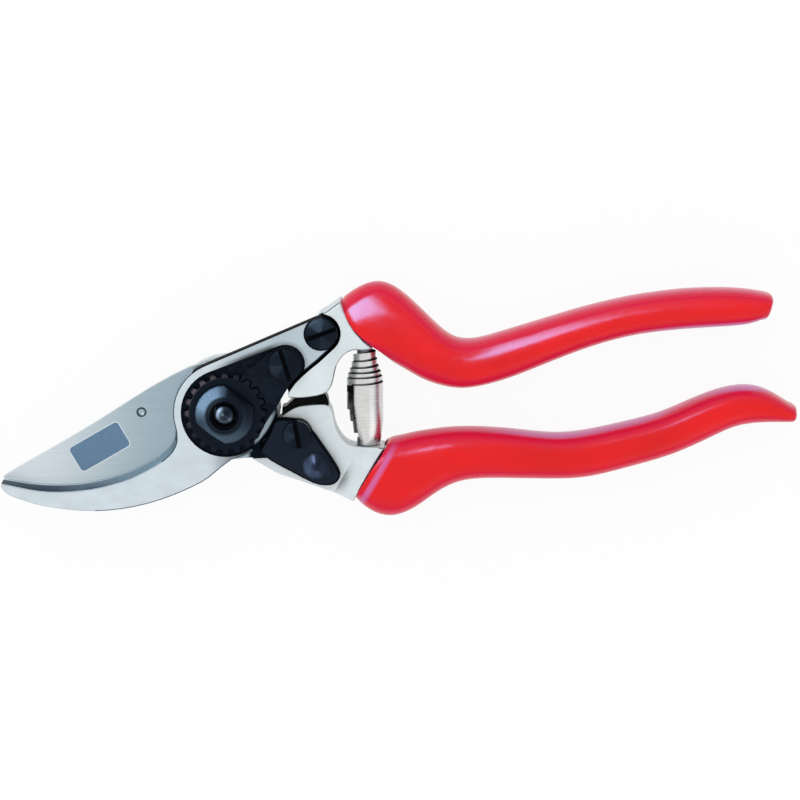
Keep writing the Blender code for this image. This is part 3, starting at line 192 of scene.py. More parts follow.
# name, power and share of it, sides, tint, place, and the one grip that mirrors it
LAMPS = (
    ("key", "key_power", 1, (0.55, 0.55), WHITE, (-0.42, 0.50, 0.62), None),
    ("fill", "fill_power", 1, (0.60, 0.60), WHITE, (0.55, -0.45, 0.45), None),
    ("upper_strip", "strip_power", 1, (0.28, 0.7), LILAC, STRIP_PLACE, "upper_sleeve"),
    ("lower_strip", "strip_power", 0.13, (0.28, 0.16), LILAC, STRIP_PLACE, "lower_sleeve"),
)
FLOOR_RADIUS = 2.5
FLOOR_TONE = 0.86
FLOOR_WHITE = 0.92  # how far the floor is white to the camera and in mirrors


# ---------------- colours and sizes

def linear(code):
    """Linear RGB of an sRGB hex code."""
    parts = [int(code[i:i + 2], 16) / 255 for i in (1, 3, 5)]
    return tuple(c / 12.92 if c <= 0.04045 else ((c + 0.055) / 1.055) ** 2.4 for c in parts)


def colour(name, code, description):
    """Colour that a user may change."""
    return bpy.props.FloatVectorProperty(
        name=name, description=description, subtype='COLOR', size=3, min=0, max=1,
        default=linear(code))


def length(name, value, description):
    """Length that a user may change, in metres."""
    return bpy.props.FloatProperty(
        name=name, description=description, unit='LENGTH', precision=5, min=0, default=value)


def power(name, value, description):
    """Power of a lamp, in watts."""
    return bpy.props.FloatProperty(
        name=name, description=description, unit='POWER', min=0, default=value)


def brightness(name, value, description):
    """Part of full white."""
    return bpy.props.FloatProperty(
        name=name, description=description, subtype='FACTOR', min=0, max=1, default=value)


class ShearsColours(bpy.types.PropertyGroup):
    """Colours of the finishes."""
    aluminium: colour("Aluminium", "#d8e1e2", "Blasted skin of the forged arms")
    # painted shade on the arms' rounded edges
    arm_edge: colour("Arm edge", "#7f8b92", "Rounded edges of the arms")
    blade: colour("Blade", "#d6dfe4", "Ground face of the cutting blade")
    blade_root: colour("Blade root", "#a3b5be", "The same face near the pivot")
    # painted shadow on the blade behind the pivot
    blade_shadow: colour("Blade skin", "#0d141d", "Forging skin of the blade behind the pivot")
    # painted shade in the dimple
    dimple: colour("Dimple", "#5f6d77", "Wall of the test dimple in the blade")
    plate: colour("Bare plate", "#64809a", "Etched plate on the blade, with nothing on it")
    hook: colour("Hook", "#d1dbe1", "Satin face of the hook")
    # painted shade on the hook's outer rounded edge
    hook_edge: colour("Hook edge", "#4c6478", "Rounded outer edge of the hook")
    # painted shade on the hook's ground inner edge: dark at the tip, paler at the throat
    band: colour("Ground band", "#2b3d4b", "Ground inner edge of the hook, at its tip")
    band_root: colour("Ground band root", "#8ea0ac", "The same edge at the throat")
    blued: colour("Blued steel", "#111923", "Nut, segment and screws")
    # painted highlight on the nut's collar
    collar_highlight: colour("Blued steel, light", "#9ac0de", "Where the nut's bluing is thin")
    # painted glints on the nut's teeth
    teeth_highlight: colour("Teeth, light", "#6c6169", "Rubbed tips of the nut's teeth")
    # painted highlight on the segment's edge
    segment_edge: colour("Segment edge", "#b9b4be", "Rubbed edge of the toothed segment")
    # painted highlight on the screws' heads
    screw_highlight: colour("Screw, light", "#46586a", "Bright sides of the screws' heads")
    # the black of painted shade
    black_shade: colour("Soot black", "#04060a", "Slots, seats and shaded walls")
    # painted shade and painted highlight on the bolt's turned end
    bolt: colour("Bolt", "#141f2c", "Turned end of the pivot bolt, its dark side")
    bolt_highlight: colour("Bolt, light", "#b3cae4", "The same end, its bright side")
    plain_steel: colour("Plain steel", "#6d747a", "Studs, dowel and washer")
    bronze: colour("Bronze", "#a8814f", "Bush of the pivot")
    lever: colour("Lever", "#0b1119", "Coated thumb lever")
    # painted highlight on the lever's pad
    pad: colour("Lever pad", "#8297c6", "Where the thumb polishes the lever")
    rubber: colour("Rubber", "#040506", "Stop between the arms")
    vinyl: colour("Vinyl", "#e10d12", "Dipped grips")
    # painted reflection on the grips' flanks
    vinyl_edge: colour("Vinyl, edge-on", "#dc1b3e", "The same skin on the grips' flanks")
    # painted lilac reflection
    vinyl_reflection: colour("Vinyl bloom", "#cc6ba8", "Lilac bloom on the flanks between the grips")
    spring: colour("Spring", "#d9d8d6", "Plated spring strip")


class ShearsSizes(bpy.types.PropertyGroup):
    """Sizes of the fine edges and thin pieces."""
    steel_edge: length("Steel edge", 0.12 * MM, "Rounding of the steel pieces' edges")
    arm_edge: length("Arm edge", 0.35 * MM, "Rounding of the arms' edges")
    tooth_edge: length("Tooth edge", 0.12 * MM, "Rounding of the nut's teeth")
    segment_edge: length("Segment edge", 0.20 * MM, "Rounding of the toothed segment's edges")
    lever_edge: length("Lever edge", 0.30 * MM, "Rounding of the lever's edges")
    stop_edge: length("Stop edge", 0.25 * MM, "Rounding of the rubber stop's edges")
    strip: length("Strip", 0.26 * MM, "Thickness of the spring's strip")
    plate_length: length("Plate length", 15.8 * MM, "Of the bare plate on the blade")
    plate_width: length("Plate width", 8.0 * MM, "Of the bare plate on the blade")


class ShearsStudio(bpy.types.PropertyGroup):
    """Light and camera."""
    key_power: power("Key", 1.6, "Of the large lamp")
    fill_power: power("Fill", 0.5, "Of the low lamp")
    strip_power: power("Strip", 26.0, "Of the narrow lamps that show in the grips")
    dome_top: brightness("Dome", 1.0, "Straight above")
    dome_rim: brightness("Dome rim", 0.35, "At the horizon")
    camera_distance: length("Camera distance", 0.7, "From the middle of the shears")
    camera_lean: bpy.props.FloatProperty(
        name="Camera lean", description="Away from straight above", subtype='ANGLE',
        default=math.radians(9))
    lens: bpy.props.FloatProperty(
        name="Lens", description="Focal length on a 36 mm sensor", unit='CAMERA', default=117)


# ---------------- modelling by hand

def only(piece):
    """Select one object, in object mode."""
    bpy.ops.object.select_all(action='DESELECT')
    piece.select_set(True)
    bpy.context.view_layer.objects.active = piece


def edit_all(piece, step, **settings):
    """Run one of Blender's mesh tools on all of a piece, in edit mode."""
    only(piece)
    bpy.ops.object.mode_set(mode='EDIT')
    bpy.ops.mesh.select_all(action='SELECT')
    step(**settings)
    bpy.ops.object.mode_set(mode='OBJECT')


def copy_of(node, name):
    """A node's form as a new piece, its loose triangles welded into whole faces."""
    piece = bpy.data.objects.new(name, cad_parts[node].data.copy())
    bpy.context.scene.collection.objects.link(piece)
    piece.data.materials.clear()
    edit_all(piece, bpy.ops.mesh.remove_doubles, threshold=0.002 * MM)
    bpy.ops.mesh.customdata_custom_splitnormals_clear()
    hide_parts(node)
    return piece


def join_flat_faces(piece):
    """Make one face of triangles that lie in one plane."""
    edit_all(piece, bpy.ops.mesh.dissolve_limited, angle_limit=math.radians(0.5))


def apply_step(piece, kind, **settings):
    """Add a modifier with its settings and apply it."""
    only(piece)
    step = piece.modifiers.new(kind.title(), kind)
    for name, value in settings.items():
        setattr(step, name, value)
    bpy.ops.object.modifier_apply(modifier=step.name)


def round_edges(piece, width, angle=40):
    """Round the edges at which faces meet at more than an angle in degrees."""
    apply_step(piece, 'BEVEL', width=width, segments=2, limit_method='ANGLE',
               angle_limit=math.radians(angle), use_clamp_overlap=True)


def shade(piece, angle=45):
    """Smooth shading that keeps wide faces flat."""
    only(piece)
    bpy.ops.object.shade_smooth_by_angle(angle=math.radians(angle))
    apply_step(piece, 'WEIGHTED_NORMAL', keep_sharp=True, weight=80)


def paint(piece, material, test=None):
    """Give a material to the faces that pass a test, or to all of them."""
    piece.data.materials.append(material)
    index = len(piece.data.materials) - 1
    for face in piece.data.polygons:
        if test is None or test(face):
            face.material_index = index


def dressed(node, name, body, width, material, angle=40):
    """A node's form with fine edges, on its body."""
    piece = copy_of(node, name)
    join_flat_faces(piece)
    round_edges(piece, width, angle)
    paint(piece, material)
    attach(piece, body)
    return piece


# ---------------- materials

def put(tree, kind, settings=None, feeds=None):
    """Add a node with its settings, and link what feeds its inputs: sockets, or nodes whose
    first output is meant."""
    node = tree.nodes.new("ShaderNode" + kind)
    for key, value in (settings or {}).items():
        if isinstance(key, str) and hasattr(node, key):
            setattr(node, key, value)
        else:
            node.inputs[key].default_value = value
    for key, source in (feeds or {}).items():
        if isinstance(source, bpy.types.Node):
            source = source.outputs[0]
        tree.links.new(source, node.inputs[key])
    return node


def new_material(name, base, metallic, roughness, specular=0.5):
    """Material with a Principled shader; returns it with its tree and shader."""
    material = bpy.data.materials.new(name)
    material.use_nodes = True
    tree = material.node_tree
    shader = tree.nodes["Principled BSDF"]
    shader.inputs["Base Color"].default_value = (*base, 1)
    shader.inputs["Metallic"].default_value = metallic
    shader.inputs["Roughness"].default_value = roughness
    shader.inputs["Specular IOR Level"].default_value = specular
    return material, tree, shader


def shift(base, factor):
    """A lighter or darker shade of a colour."""
    return tuple(min(1, c * factor) for c in base)


def grain(tree, sizes, detail=2.0):
    """Noise with features of a size in millimetres, or of sizes along x, y and z."""
    if isinstance(sizes, float):
        sizes = (sizes,) * 3
    place = put(tree, "TexCoord").outputs["Object"]
    scaled = put(tree, "Mapping", {"Scale": tuple(1 / (size * MM) for size in sizes)},
                 {"Vector": place})
    return put(tree, "TexNoise", {"Scale": 1.0, "Detail": detail}, {"Vector": scaled})


# nearly all values of the noise lie between these
NOISE_SPAN = {"From Min": 0.3, "From Max": 0.7}
EASED = {"interpolation_type": 'SMOOTHSTEP'}
RGBA = {"data_type": 'RGBA'}
MULTIPLIED = {"data_type": 'RGBA', "blend_type": 'MULTIPLY'}


def tones(tree, pattern, base, low, high):
    """Colour that wanders with a pattern between two shades of a base, given as factors."""
    share = put(tree, "MapRange", NOISE_SPAN, {"Value": pattern})
    ends = {6: (*shift(base, low), 1), 7: (*shift(base, high), 1)}
    return put(tree, "Mix", {**RGBA, **ends}, {0: share}).outputs[2]


def work_surface(tree, shader, tint, pattern, rough=None, height=0.0):
    """Give a shader its colour from a socket and, from a pattern, roughness between two values
    and relief of a height in millimetres."""
    tree.links.new(tint, shader.inputs["Base Color"])
    if rough:
        gloss = put(tree, "MapRange", {**NOISE_SPAN, "To Min": rough[0], "To Max": rough[1]},
                    {"Value": pattern})
        tree.links.new(gloss.outputs[0], shader.inputs["Roughness"])
    if height:
        relief = put(tree, "Bump", {"Strength": 1.0, "Distance": height * MM}, {"Height": pattern})
        tree.links.new(relief.outputs[0], shader.inputs["Normal"])


def product(tree, first, *others):
    """Product of levels: nodes or sockets."""
    for other in others:
        first = put(tree, "Math", {"operation": 'MULTIPLY'}, {0: first, 1: other})
    return first


def shine_levels(tree, centre, angles, radii):
    """Level by direction in degrees and by distance in millimetres from a centre."""
    place = put(tree, "TexCoord").outputs["Object"]
    away = put(tree, "VectorMath", {"operation": 'SUBTRACT', 1: (*centre, 0)}, {0: place})
    flat = put(tree, "VectorMath", {"operation": 'MULTIPLY', 1: (1, 1, 0)}, {0: away})
    parts = put(tree, "SeparateXYZ", {}, {0: flat})
    angle = put(tree, "Math", {"operation": 'ARCTAN2'}, {0: parts.outputs["Y"],
                                                         1: parts.outputs["X"]})
    turn = put(tree, "MapRange", {"From Min": -math.pi, "From Max": math.pi}, {"Value": angle})
    distance = put(tree, "VectorMath", {"operation": 'LENGTH'}, {0: flat}).outputs["Value"]
    share = put(tree, "Math", {"operation": 'DIVIDE', 1: SHINE_RADIUS * MM}, {0: distance})
    ramps = []
    for source, stops in ((turn, [((degrees + 180) / 360, level) for degrees, level in angles]),
                          (share, [(mm / SHINE_RADIUS, level) for mm, level in radii])):
        ramp = put(tree, "ValToRGB", {}, {0: source})
        points, stops = ramp.color_ramp.elements, sorted(stops)
        for position, level in stops:
            if 0 < position < 1:
                points.new(position).color = (level, level, level, 1)
        for point, (position, level) in ((points[0], stops[0]), (points[-1], stops[-1])):
            point.color = (level, level, level, 1)
        ramps.append(ramp)
    return product(tree, *ramps)


def fine_finish(name, base, kind, sizes, shades, rough=None, height=0.0, detail=2.0):
    """Material with one fine pattern, which carries its shades, gloss and relief. Its kind is
    how metallic, rough and specular it is."""
    material, tree, shader = new_material(name, base, *kind)
    pattern = grain(tree, sizes, detail)
    work_surface(tree, shader, tones(tree, pattern, base, *shades), pattern, rough, height)
    return material


def forged_aluminium(colours):
    """Drop-forged aluminium, shot-blasted: pale and matt, with a fine peened grain."""
    base = colours.aluminium
    material, tree, shader = new_material("shot_blasted_aluminium", base, 0.6, 0.5, 0.2)
    peened = grain(tree, 0.5, 3)
    cloud = grain(tree, (7, 5, 5))
    work_surface(tree, shader, tones(tree, cloud, base, 0.93, 1.04), peened, (0.42, 0.60), 0.018)
    return material


def ground_steel(colours):
    """Carbon steel ground along the blade: fine straight lines, darker near the pivot, and past it
    painted black as painted shadow, but for one bright patch.
    """
    tip, root = colours.blade, colours.blade_root
    material, tree, shader = new_material("ground_blade_steel", tip, 1.0, 0.34)
    # real grinding lines are about 0.05 mm apart; these are drawn coarser so that they show
    lines = grain(tree, (14, 0.30, 0.30), 3)
    place = put(tree, "TexCoord").outputs["Object"]
    along = put(tree, "SeparateXYZ", {}, {0: place}).outputs["X"]
    near = put(tree, "MapRange", {**EASED, "From Min": -55 * MM, "From Max": -16 * MM},
               {"Value": along})
    tinted = put(tree, "Mix", {**RGBA, 6: (*tip, 1), 7: (*root, 1)}, {0: near})
    streaked = put(tree, "Mix", {**MULTIPLIED, 0: 1.0},
                   {6: tinted.outputs[2], 7: tones(tree, lines, (1, 1, 1), 0.90, 1.0)})
    # past the pivot the blade is painted black as painted shadow, but for one patch that keeps its
    # bright face
    skin = put(tree, "MapRange", {"From Min": 5.5 * MM, "From Max": 6.5 * MM}, {"Value": along})
    moved = put(tree, "VectorMath", {"operation": 'SUBTRACT', 1: PATCH}, {0: place})
    turned = put(tree, "Mapping", {"Rotation": (0, 0, PATCH_TURN)}, {"Vector": moved})
    shrink = (1 / PATCH_SIDES[0], 1 / PATCH_SIDES[1], 0)
    shaped = put(tree, "VectorMath", {"operation": 'MULTIPLY', 1: shrink}, {0: turned})
    away = put(tree, "VectorMath", {"operation": 'LENGTH'}, {0: shaped}).outputs["Value"]
    outside = put(tree, "MapRange", {"From Min": 0.75, "From Max": 1.2}, {"Value": away})
    forged = put(tree, "Mix", {**RGBA, 7: (*colours.blade_shadow, 1)},
                 {0: product(tree, skin, outside), 6: streaked.outputs[2]})
    work_surface(tree, shader, forged.outputs[2], lines, (0.28, 0.42), 0.004)
    return material


def hook_steel(colours):
    """Forged carbon steel, satin-polished: pale, with a faint cloudy sheen, and painted shade on
    its tang.
    """
    base = colours.hook
    material, tree, shader = new_material("satin_hook_steel", base, 1.0, 0.38)
    cloud = grain(tree, (6, 3, 3))
    fine = grain(tree, (0.8, 0.35, 0.35))
    place = put(tree, "TexCoord").outputs["Object"]
    along = put(tree, "SeparateXYZ", {}, {0: place}).outputs["X"]
    tang = put(tree, "MapRange", {**EASED, "From Min": -6 * MM, "From Max": 6 * MM},
               {"Value": along})
    # the tang is darker than the hook, and painted shade darkens it along the pocket's side and
    # round its end
    off = put(tree, "VectorMath", {"operation": 'DOT_PRODUCT', 1: POCKET_SIDE}, {0: place})
    side = put(tree, "MapRange", {**EASED, "From Min": 13.5 * MM, "From Max": 12 * MM},
               {"Value": off.outputs["Value"]})
    before = put(tree, "MapRange", {"From Min": 17 * MM, "From Max": 12 * MM}, {"Value": along})
    end = shine_levels(tree, POCKET_END, TANG_SHADE_ANGLES, TANG_SHADE_RADII)
    near = put(tree, "Math", {"operation": 'MAXIMUM'}, {0: product(tree, side, before), 1: end})
    dull = put(tree, "Mix", {**MULTIPLIED, 7: (0.76, 0.8, 0.82, 1)},
               {0: tang, 6: tones(tree, cloud, base, 0.92, 1.03)})
    painted_tang_shade = put(tree, "Mix", {**RGBA, 7: (*shift(base, 0.12), 1)},
                 {0: product(tree, near, tang), 6: dull.outputs[2]})
    work_surface(tree, shader, painted_tang_shade.outputs[2], fine, (0.32, 0.46), 0.004)
    return material


def ground_band(colours):
    """Steel ground after tempering, painted dark at the tip, where the bevel faces away from the
    light, and paler towards the throat, where it turns to it: painted shade.
    """
    dark, pale = colours.band, colours.band_root
    material, tree, shader = new_material("ground_hook_edge", dark, 1.0, 0.32)
    lines = grain(tree, (6, 0.3, 0.3))
    place = put(tree, "TexCoord").outputs["Object"]
    along = put(tree, "SeparateXYZ", {}, {0: place})
    share = put(tree, "MapRange", {"From Min": -46 * MM, "From Max": -14 * MM}, {"Value": along})
    tint = put(tree, "Mix", {**RGBA, 6: (*dark, 1), 7: (*pale, 1)}, {0: share})
    work_surface(tree, shader, tint.outputs[2], lines, (0.28, 0.40))
    return material


def blued_steel(colours, name, roughness):
    """Steel blackened in hot salts: an even, deep blue-black."""
    base = colours.blued
    material, tree, shader = new_material(name, base, 0.85, roughness, 0.2)
    cloud = grain(tree, 1.6)
    fine = grain(tree, 0.35)
    work_surface(tree, shader, tones(tree, cloud, base, 0.7, 1.4), fine,
                 (roughness - 0.05, roughness + 0.07), 0.004)
    return material


def turned_bluing(name, base, pale, centre, angles, radii):
    """Turned steel, blued, with a painted highlight to some sides of a centre, where its fine
    rings shine.
    """
    material, tree, shader = new_material(name, base, 0.85, 0.3, 0.2)
    fine = grain(tree, 0.35)
    patchy = put(tree, "MapRange", {**NOISE_SPAN, "To Min": 0.8, "To Max": 1}, {"Value": fine})
    shine = product(tree, shine_levels(tree, centre, angles, radii), patchy)
    tint = put(tree, "Mix", {**RGBA, 6: (*base, 1), 7: (*pale, 1)}, {0: shine})
    work_surface(tree, shader, tint.outputs[2], fine, (0.24, 0.38))
    return material


def painted_edge(name, base):
    """Edge or wall in a tint of its own, painted darker or lighter as painted shade and painted
    highlight.
    """
    return fine_finish(name, base, (0.9, 0.3, 0.5), 0.8, (0.6, 1.2))


def painted_shade_black(colours):
    """A dull black that hides a surface's shape: painted shade in slots, seats, recesses and on
    side walls.
    """
    return fine_finish("painted_shade_black_steel", colours.black_shade, (0.0, 0.7, 0.05), 0.5, (0.5, 2.2))


def turned_steel(colours):
    """Plain turned steel: mid-grey and bright, with a fine uneven shine."""
    return fine_finish("turned_plain_steel", colours.plain_steel, (1.0, 0.3, 0.5), 0.4,
                       (0.8, 1.1), (0.24, 0.38))


def bearing_bronze(colours):
    """Sintered bronze: brown-gold with fine pores."""
    return fine_finish("sintered_bronze", colours.bronze, (1.0, 0.42, 0.5), 0.25, (0.7, 1),
                       height=0.01, detail=3)


def moulded_rubber(colours):
    """Moulded nitrile rubber: almost black, with a dull shine."""
    return fine_finish("moulded_nitrile_rubber", colours.rubber, (0.0, 0.3, 0.05), 0.3,
                       (0.7, 1.6), (0.26, 0.38), 0.01)


def plated_strip(colours, name, level):
    """Nickel-plated spring strip, bright, with rolling marks along the strip."""
    return fine_finish(name, shift(colours.spring, level), (1.0, 0.26, 0.5), (3, 0.25, 3),
                       (0.86, 1.05), (0.20, 0.34))


def etched_plate(colours):
    """Electro-etched steel: a flat slate blue, finely frosted."""
    return fine_finish("etched_slate_blue", colours.plate, (0.7, 0.5, 0.5), 0.4,
                       (0.86, 1.12), (0.42, 0.60), detail=3)


def coated_lever(colours):
    """Die-cast lever in black baked enamel: smooth, with a soft blue-grey sheen, and a painted
    highlight on its thumb pad.
    """
    base = colours.lever
    material, tree, shader = new_material("black_baked_enamel", base, 0.0, 0.34, 0.25)
    shader.inputs["Specular Tint"].default_value = (0.45, 0.65, 1.0, 1)
    peel = grain(tree, 0.6)
    # painted highlight on the thumb pad
    pad_shine = put(tree, "Mix", {**RGBA, 6: (*base, 1), 7: (*colours.pad, 1)},
                 {0: shine_levels(tree, LEVER_PAD, PAD_ANGLES, PAD_RADII)})
    work_surface(tree, shader, pad_shine.outputs[2], peel, (0.30, 0.42), 0.006)
    return material


def dipped_vinyl(colours):
    """Plastisol vinyl from a dipping bath: glossy, with painted reflections: crimson where the
    coat is seen edge-on, and lilac on some flanks and behind the lower mouth.
    """
    base = colours.vinyl
    material, tree, shader = new_material("dipped_plastisol_vinyl", base, 0.0, 0.2, 0.25)
    thick = grain(tree, (16, 9, 9))
    peel = grain(tree, (1.6, 1.2, 1.2))
    place = put(tree, "TexCoord")
    inward = {"operation": 'DOT_PRODUCT', 1: LOWER_MOUTH_INWARD}
    read = {"lean": put(tree, "SeparateXYZ", {}, {0: place.outputs["Normal"]}),
            "far": put(tree, "SeparateXYZ", {}, {0: place.outputs["Object"]}),
            "inward": put(tree, "VectorMath", inward, {0: place.outputs["Object"]})}
    share = {}
    for name, (source, output, start, end, kind) in VINYL_SHARES.items():
        span = {"interpolation_type": kind, "From Min": start, "From Max": end}
        share[name] = put(tree, "MapRange", span, {"Value": read[source].outputs[output]})
    # the painted lilac reflection lies on the lower grip's upper flank, from a third of its length
    # on
    flank = put(tree, "Math", {"operation": 'MAXIMUM', 1: SIDE_REFLECTION},
                {0: product(tree, share["reach"], share["lower"])})
    # and on the lower flank of the upper grip's tail
    tail = product(tree, share["under"], share["tail"], share["upper"])
    lilac_reflection = put(tree, "Math", {"operation": 'MAXIMUM'},
                {0: product(tree, share["back"], flank), 1: tail})
    edge, lilac = (*colours.vinyl_edge, 1), (*colours.vinyl_reflection, 1)
    side = put(tree, "Mix", {**RGBA, 6: edge, 7: lilac}, {0: lilac_reflection})
    # crimson and lilac where the surface turns edge-on: painted reflection
    skin = put(tree, "Mix", RGBA, {0: share["sheer"], 7: side.outputs[2],
                                   6: tones(tree, thick, base, 0.9, 1.05)})
    # and a painted lilac highlight lies in a line behind the lower grip's mouth, where the coat
    # swells
    line = product(tree, *(share[name] for name in ("start", "end", "ahead", "dip")))
    faint = put(tree, "Math", {"operation": 'MULTIPLY', 1: MOUTH_LINE}, {0: line})
    lined = put(tree, "Mix", {**RGBA, 7: lilac}, {0: faint, 6: skin.outputs[2]})
    work_surface(tree, shader, lined.outputs[2], peel, (0.18, 0.26), 0.012)
    return material


# ---------------- pieces

class ShearsOperator(bpy.types.Operator):
    """Common ground of the operators."""
    bl_options = {'REGISTER', 'UNDO'}


def chosen(context):
    """The colours and sizes as the user has set them."""
    return context.scene.shears_colours, context.scene.shears_sizes


class SHEARS_OT_arms(ShearsOperator):
    """Give the two forged arms soft edges and a blasted skin"""
    bl_idname = "shears.arms"
    bl_label = "Arms"

    def execute(self, context):
        colours, sizes = chosen(context)
        skin, black = forged_aluminium(colours), painted_shade_black(colours)
        rim = painted_edge("shaded_forging_edge", colours.arm_edge)
        for node, name, body in (("upper_handle_frame", "upper_arm", "upper_half"),
                                 ("lower_handle_frame", "lower_arm", "lower_half")):
            arm = dressed(node, name, body, sizes.arm_edge, skin, 30)
            # the arms' rounded edges are painted darker as painted shade, except the ends that
            # look along the grips
            paint(arm, rim, lambda face: 0.15 < face.normal.z < 0.85
                  and not (face.normal.x > 0.5 and face.center.x > GRIP_START))
            if name == "upper_arm":
                # the seat under the hook's tang is painted black as painted shadow
                paint(arm, black, self.in_seat)
            shade(arm, 50)
        return {'FINISHED'}

    def in_seat(self, face):
        """Walls and floor of the seat under the hook's tang, which get painted shadow."""
        wall = abs(face.normal.z) < 0.3 and face.center.z > HOOK_BACK
        floor = face.normal.z > 0.9 and face.center.z < ARM_FACE - SEAT_DEPTH
        return wall or floor


class SHEARS_OT_hook(ShearsOperator):
    """Give the hook its satin faces, ground inner edge and blackened pocket"""
    bl_idname = "shears.hook"
    bl_label = "Hook"

    def execute(self, context):
        colours, sizes = chosen(context)
        hook = dressed("hook_blade", "hook", "upper_half", sizes.steel_edge,
                       hook_steel(colours))
        # the ground inner edge, painted dark at the tip and paler towards the throat as painted
        # shade
        paint(hook, ground_band(colours), lambda face: 0.05 < face.normal.z < 0.9
              and face.center.z < HOOK_FACE - BAND_DEPTH and face.center.x < BAND_END)
        top, floor = (HOOK_FACE - depth for depth in POCKET_DEPTHS)
        start, end = POCKET_SPAN
        black = painted_shade_black(colours)
        # the hook's outer rounded edge is painted darker as painted shade
        paint(hook, painted_edge("blue_grey_edge", colours.hook_edge), lambda face:
              0.2 < face.normal.z < 0.9 and face.center.z > top
              and face.center.x > OUTER_LINE_START
              and face.normal.xy.dot(face.center.xy) > 0)
        paint(hook, blued_steel(colours, "blued_pocket", 0.5), lambda face:
              floor < face.center.z < top and start < face.center.x < end)
        # walls painted black as painted shade: the upper ones past WALL_START, and all of them
        # past TANG_START
        paint(hook, black, lambda face: abs(face.normal.z) < 0.9
              and face.center.x > WALL_START and face.normal.y > -0.2)
        paint(hook, black, lambda face: abs(face.normal.z) < 0.5 and face.center.x > TANG_START)
        shade(hook)
        return {'FINISHED'}


class SHEARS_OT_blade(ShearsOperator):
    """Give the cutting blade its ground face, test dimple and bare plate"""
    bl_idname = "shears.blade"
    bl_label = "Cutting blade"

    def execute(self, context):
        colours, sizes = chosen(context)
        blade = copy_of("cutting_blade", "blade")
        join_flat_faces(blade)
        bpy.ops.object.select_all(action='DESELECT')
        bpy.ops.mesh.primitive_uv_sphere_add(
            segments=40, ring_count=20, radius=DIMPLE_BALL,
            location=(*DIMPLE, BLADE_FACE + DIMPLE_BALL_RISE))
        ball = context.active_object
        apply_step(blade, 'BOOLEAN', operation='DIFFERENCE', object=ball, solver='EXACT')
        bpy.data.objects.remove(ball)
        round_edges(blade, sizes.steel_edge)
        paint(blade, ground_steel(colours))
        inner, outer = DIMPLE_WALL
        # the dimple's wall is painted darker as painted shade in the hollow
        paint(blade, painted_edge("dimple_wall", colours.dimple), lambda face:
              inner < (face.center.xy - Vector(DIMPLE)).length < outer
              and 0.1 < face.normal.z < 0.97 and face.center.z < BLADE_FACE - 0.02 * MM)
        shade(blade)
        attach(blade, "lower_half")
        self.add_plate(context, colours, sizes)
        return {'FINISHED'}

    def add_plate(self, context, colours, sizes):
        """Bare etched plate on the blade, with a bright rim."""
        bpy.ops.object.select_all(action='DESELECT')
        bpy.ops.mesh.primitive_plane_add(
            size=1, location=(*PLATE, BLADE_FACE - 0.01 * MM), rotation=(0, 0, PLATE_TURN))
        plate = context.active_object
        plate.name = plate.data.name = "bare_plate"
        plate.scale = (sizes.plate_length, sizes.plate_width, 1)
        bpy.ops.object.transform_apply(location=True, rotation=True, scale=True)
        bpy.ops.object.mode_set(mode='EDIT')
        bpy.ops.mesh.select_all(action='SELECT')
        bpy.ops.mesh.bevel(offset=PLATE_CORNER, segments=8, affect='VERTICES')
        bpy.ops.mesh.select_all(action='SELECT')
        bpy.ops.mesh.extrude_region_move(TRANSFORM_OT_translate={"value": (0, 0, PLATE_RISE)})
        bpy.ops.mesh.inset(thickness=PLATE_RIM)
        bpy.ops.mesh.extrude_region_move(TRANSFORM_OT_translate={"value": (0, 0, -PLATE_SINK)})
        bpy.ops.object.mode_set(mode='OBJECT')
        edit_all(plate, bpy.ops.mesh.normals_make_consistent, inside=False)
        field = 0.3 * sizes.plate_length * sizes.plate_width
        paint(plate, hook_steel(colours))
        paint(plate, etched_plate(colours), lambda face: face.normal.z > 0.9
              and face.area > field)
        shade(plate, 30)
        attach(plate, "lower_half")


class SHEARS_OT_grips(ShearsOperator):
    """Make the two dipped grips smooth all over"""
    bl_idname = "shears.grips"
    bl_label = "Grips"

    def execute(self, context):
        vinyl = dipped_vinyl(context.scene.shears_colours)
        for node, name, body, outward in (
                ("upper_grip", "upper_sleeve", "upper_half", Vector(UPPER_MOUTH_OUTWARD)),
                ("lower_grip", "lower_sleeve", "lower_half", -Vector(LOWER_MOUTH_INWARD))):
            sleeve = copy_of(node, name)
            self.select_mouth(context, sleeve, outward)
            bpy.ops.object.mode_set(mode='EDIT')
            bpy.ops.transform.translate(value=outward * MOUTH_REACH)
            context.tool_settings.mesh_select_mode = (True, False, False)
            bpy.ops.mesh.select_all(action='SELECT')
            bpy.ops.mesh.tris_convert_to_quads(face_threshold=math.radians(70),
                                               shape_threshold=math.radians(70))
            bpy.ops.mesh.select_all(action='DESELECT')
            bpy.ops.mesh.edges_select_sharp(sharpness=math.radians(42))
            bpy.ops.transform.edge_crease(value=1)
            bpy.ops.object.mode_set(mode='OBJECT')
            apply_step(sleeve, 'SUBSURF', levels=2, render_levels=2)
            paint(sleeve, vinyl)
            bpy.ops.object.shade_smooth()
            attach(sleeve, body)
        return {'FINISHED'}

    def select_mouth(self, context, sleeve, outward):
        """Select only the faces of a sleeve's mouth."""
        context.tool_settings.mesh_select_mode = (False, False, True)
        bpy.ops.object.mode_set(mode='EDIT')
        bpy.ops.mesh.select_all(action='DESELECT')
        bpy.ops.object.mode_set(mode='OBJECT')
        for face in sleeve.data.polygons:
            face.select = face.normal.dot(outward) > 0.8 and face.center.x < MOUTH_END


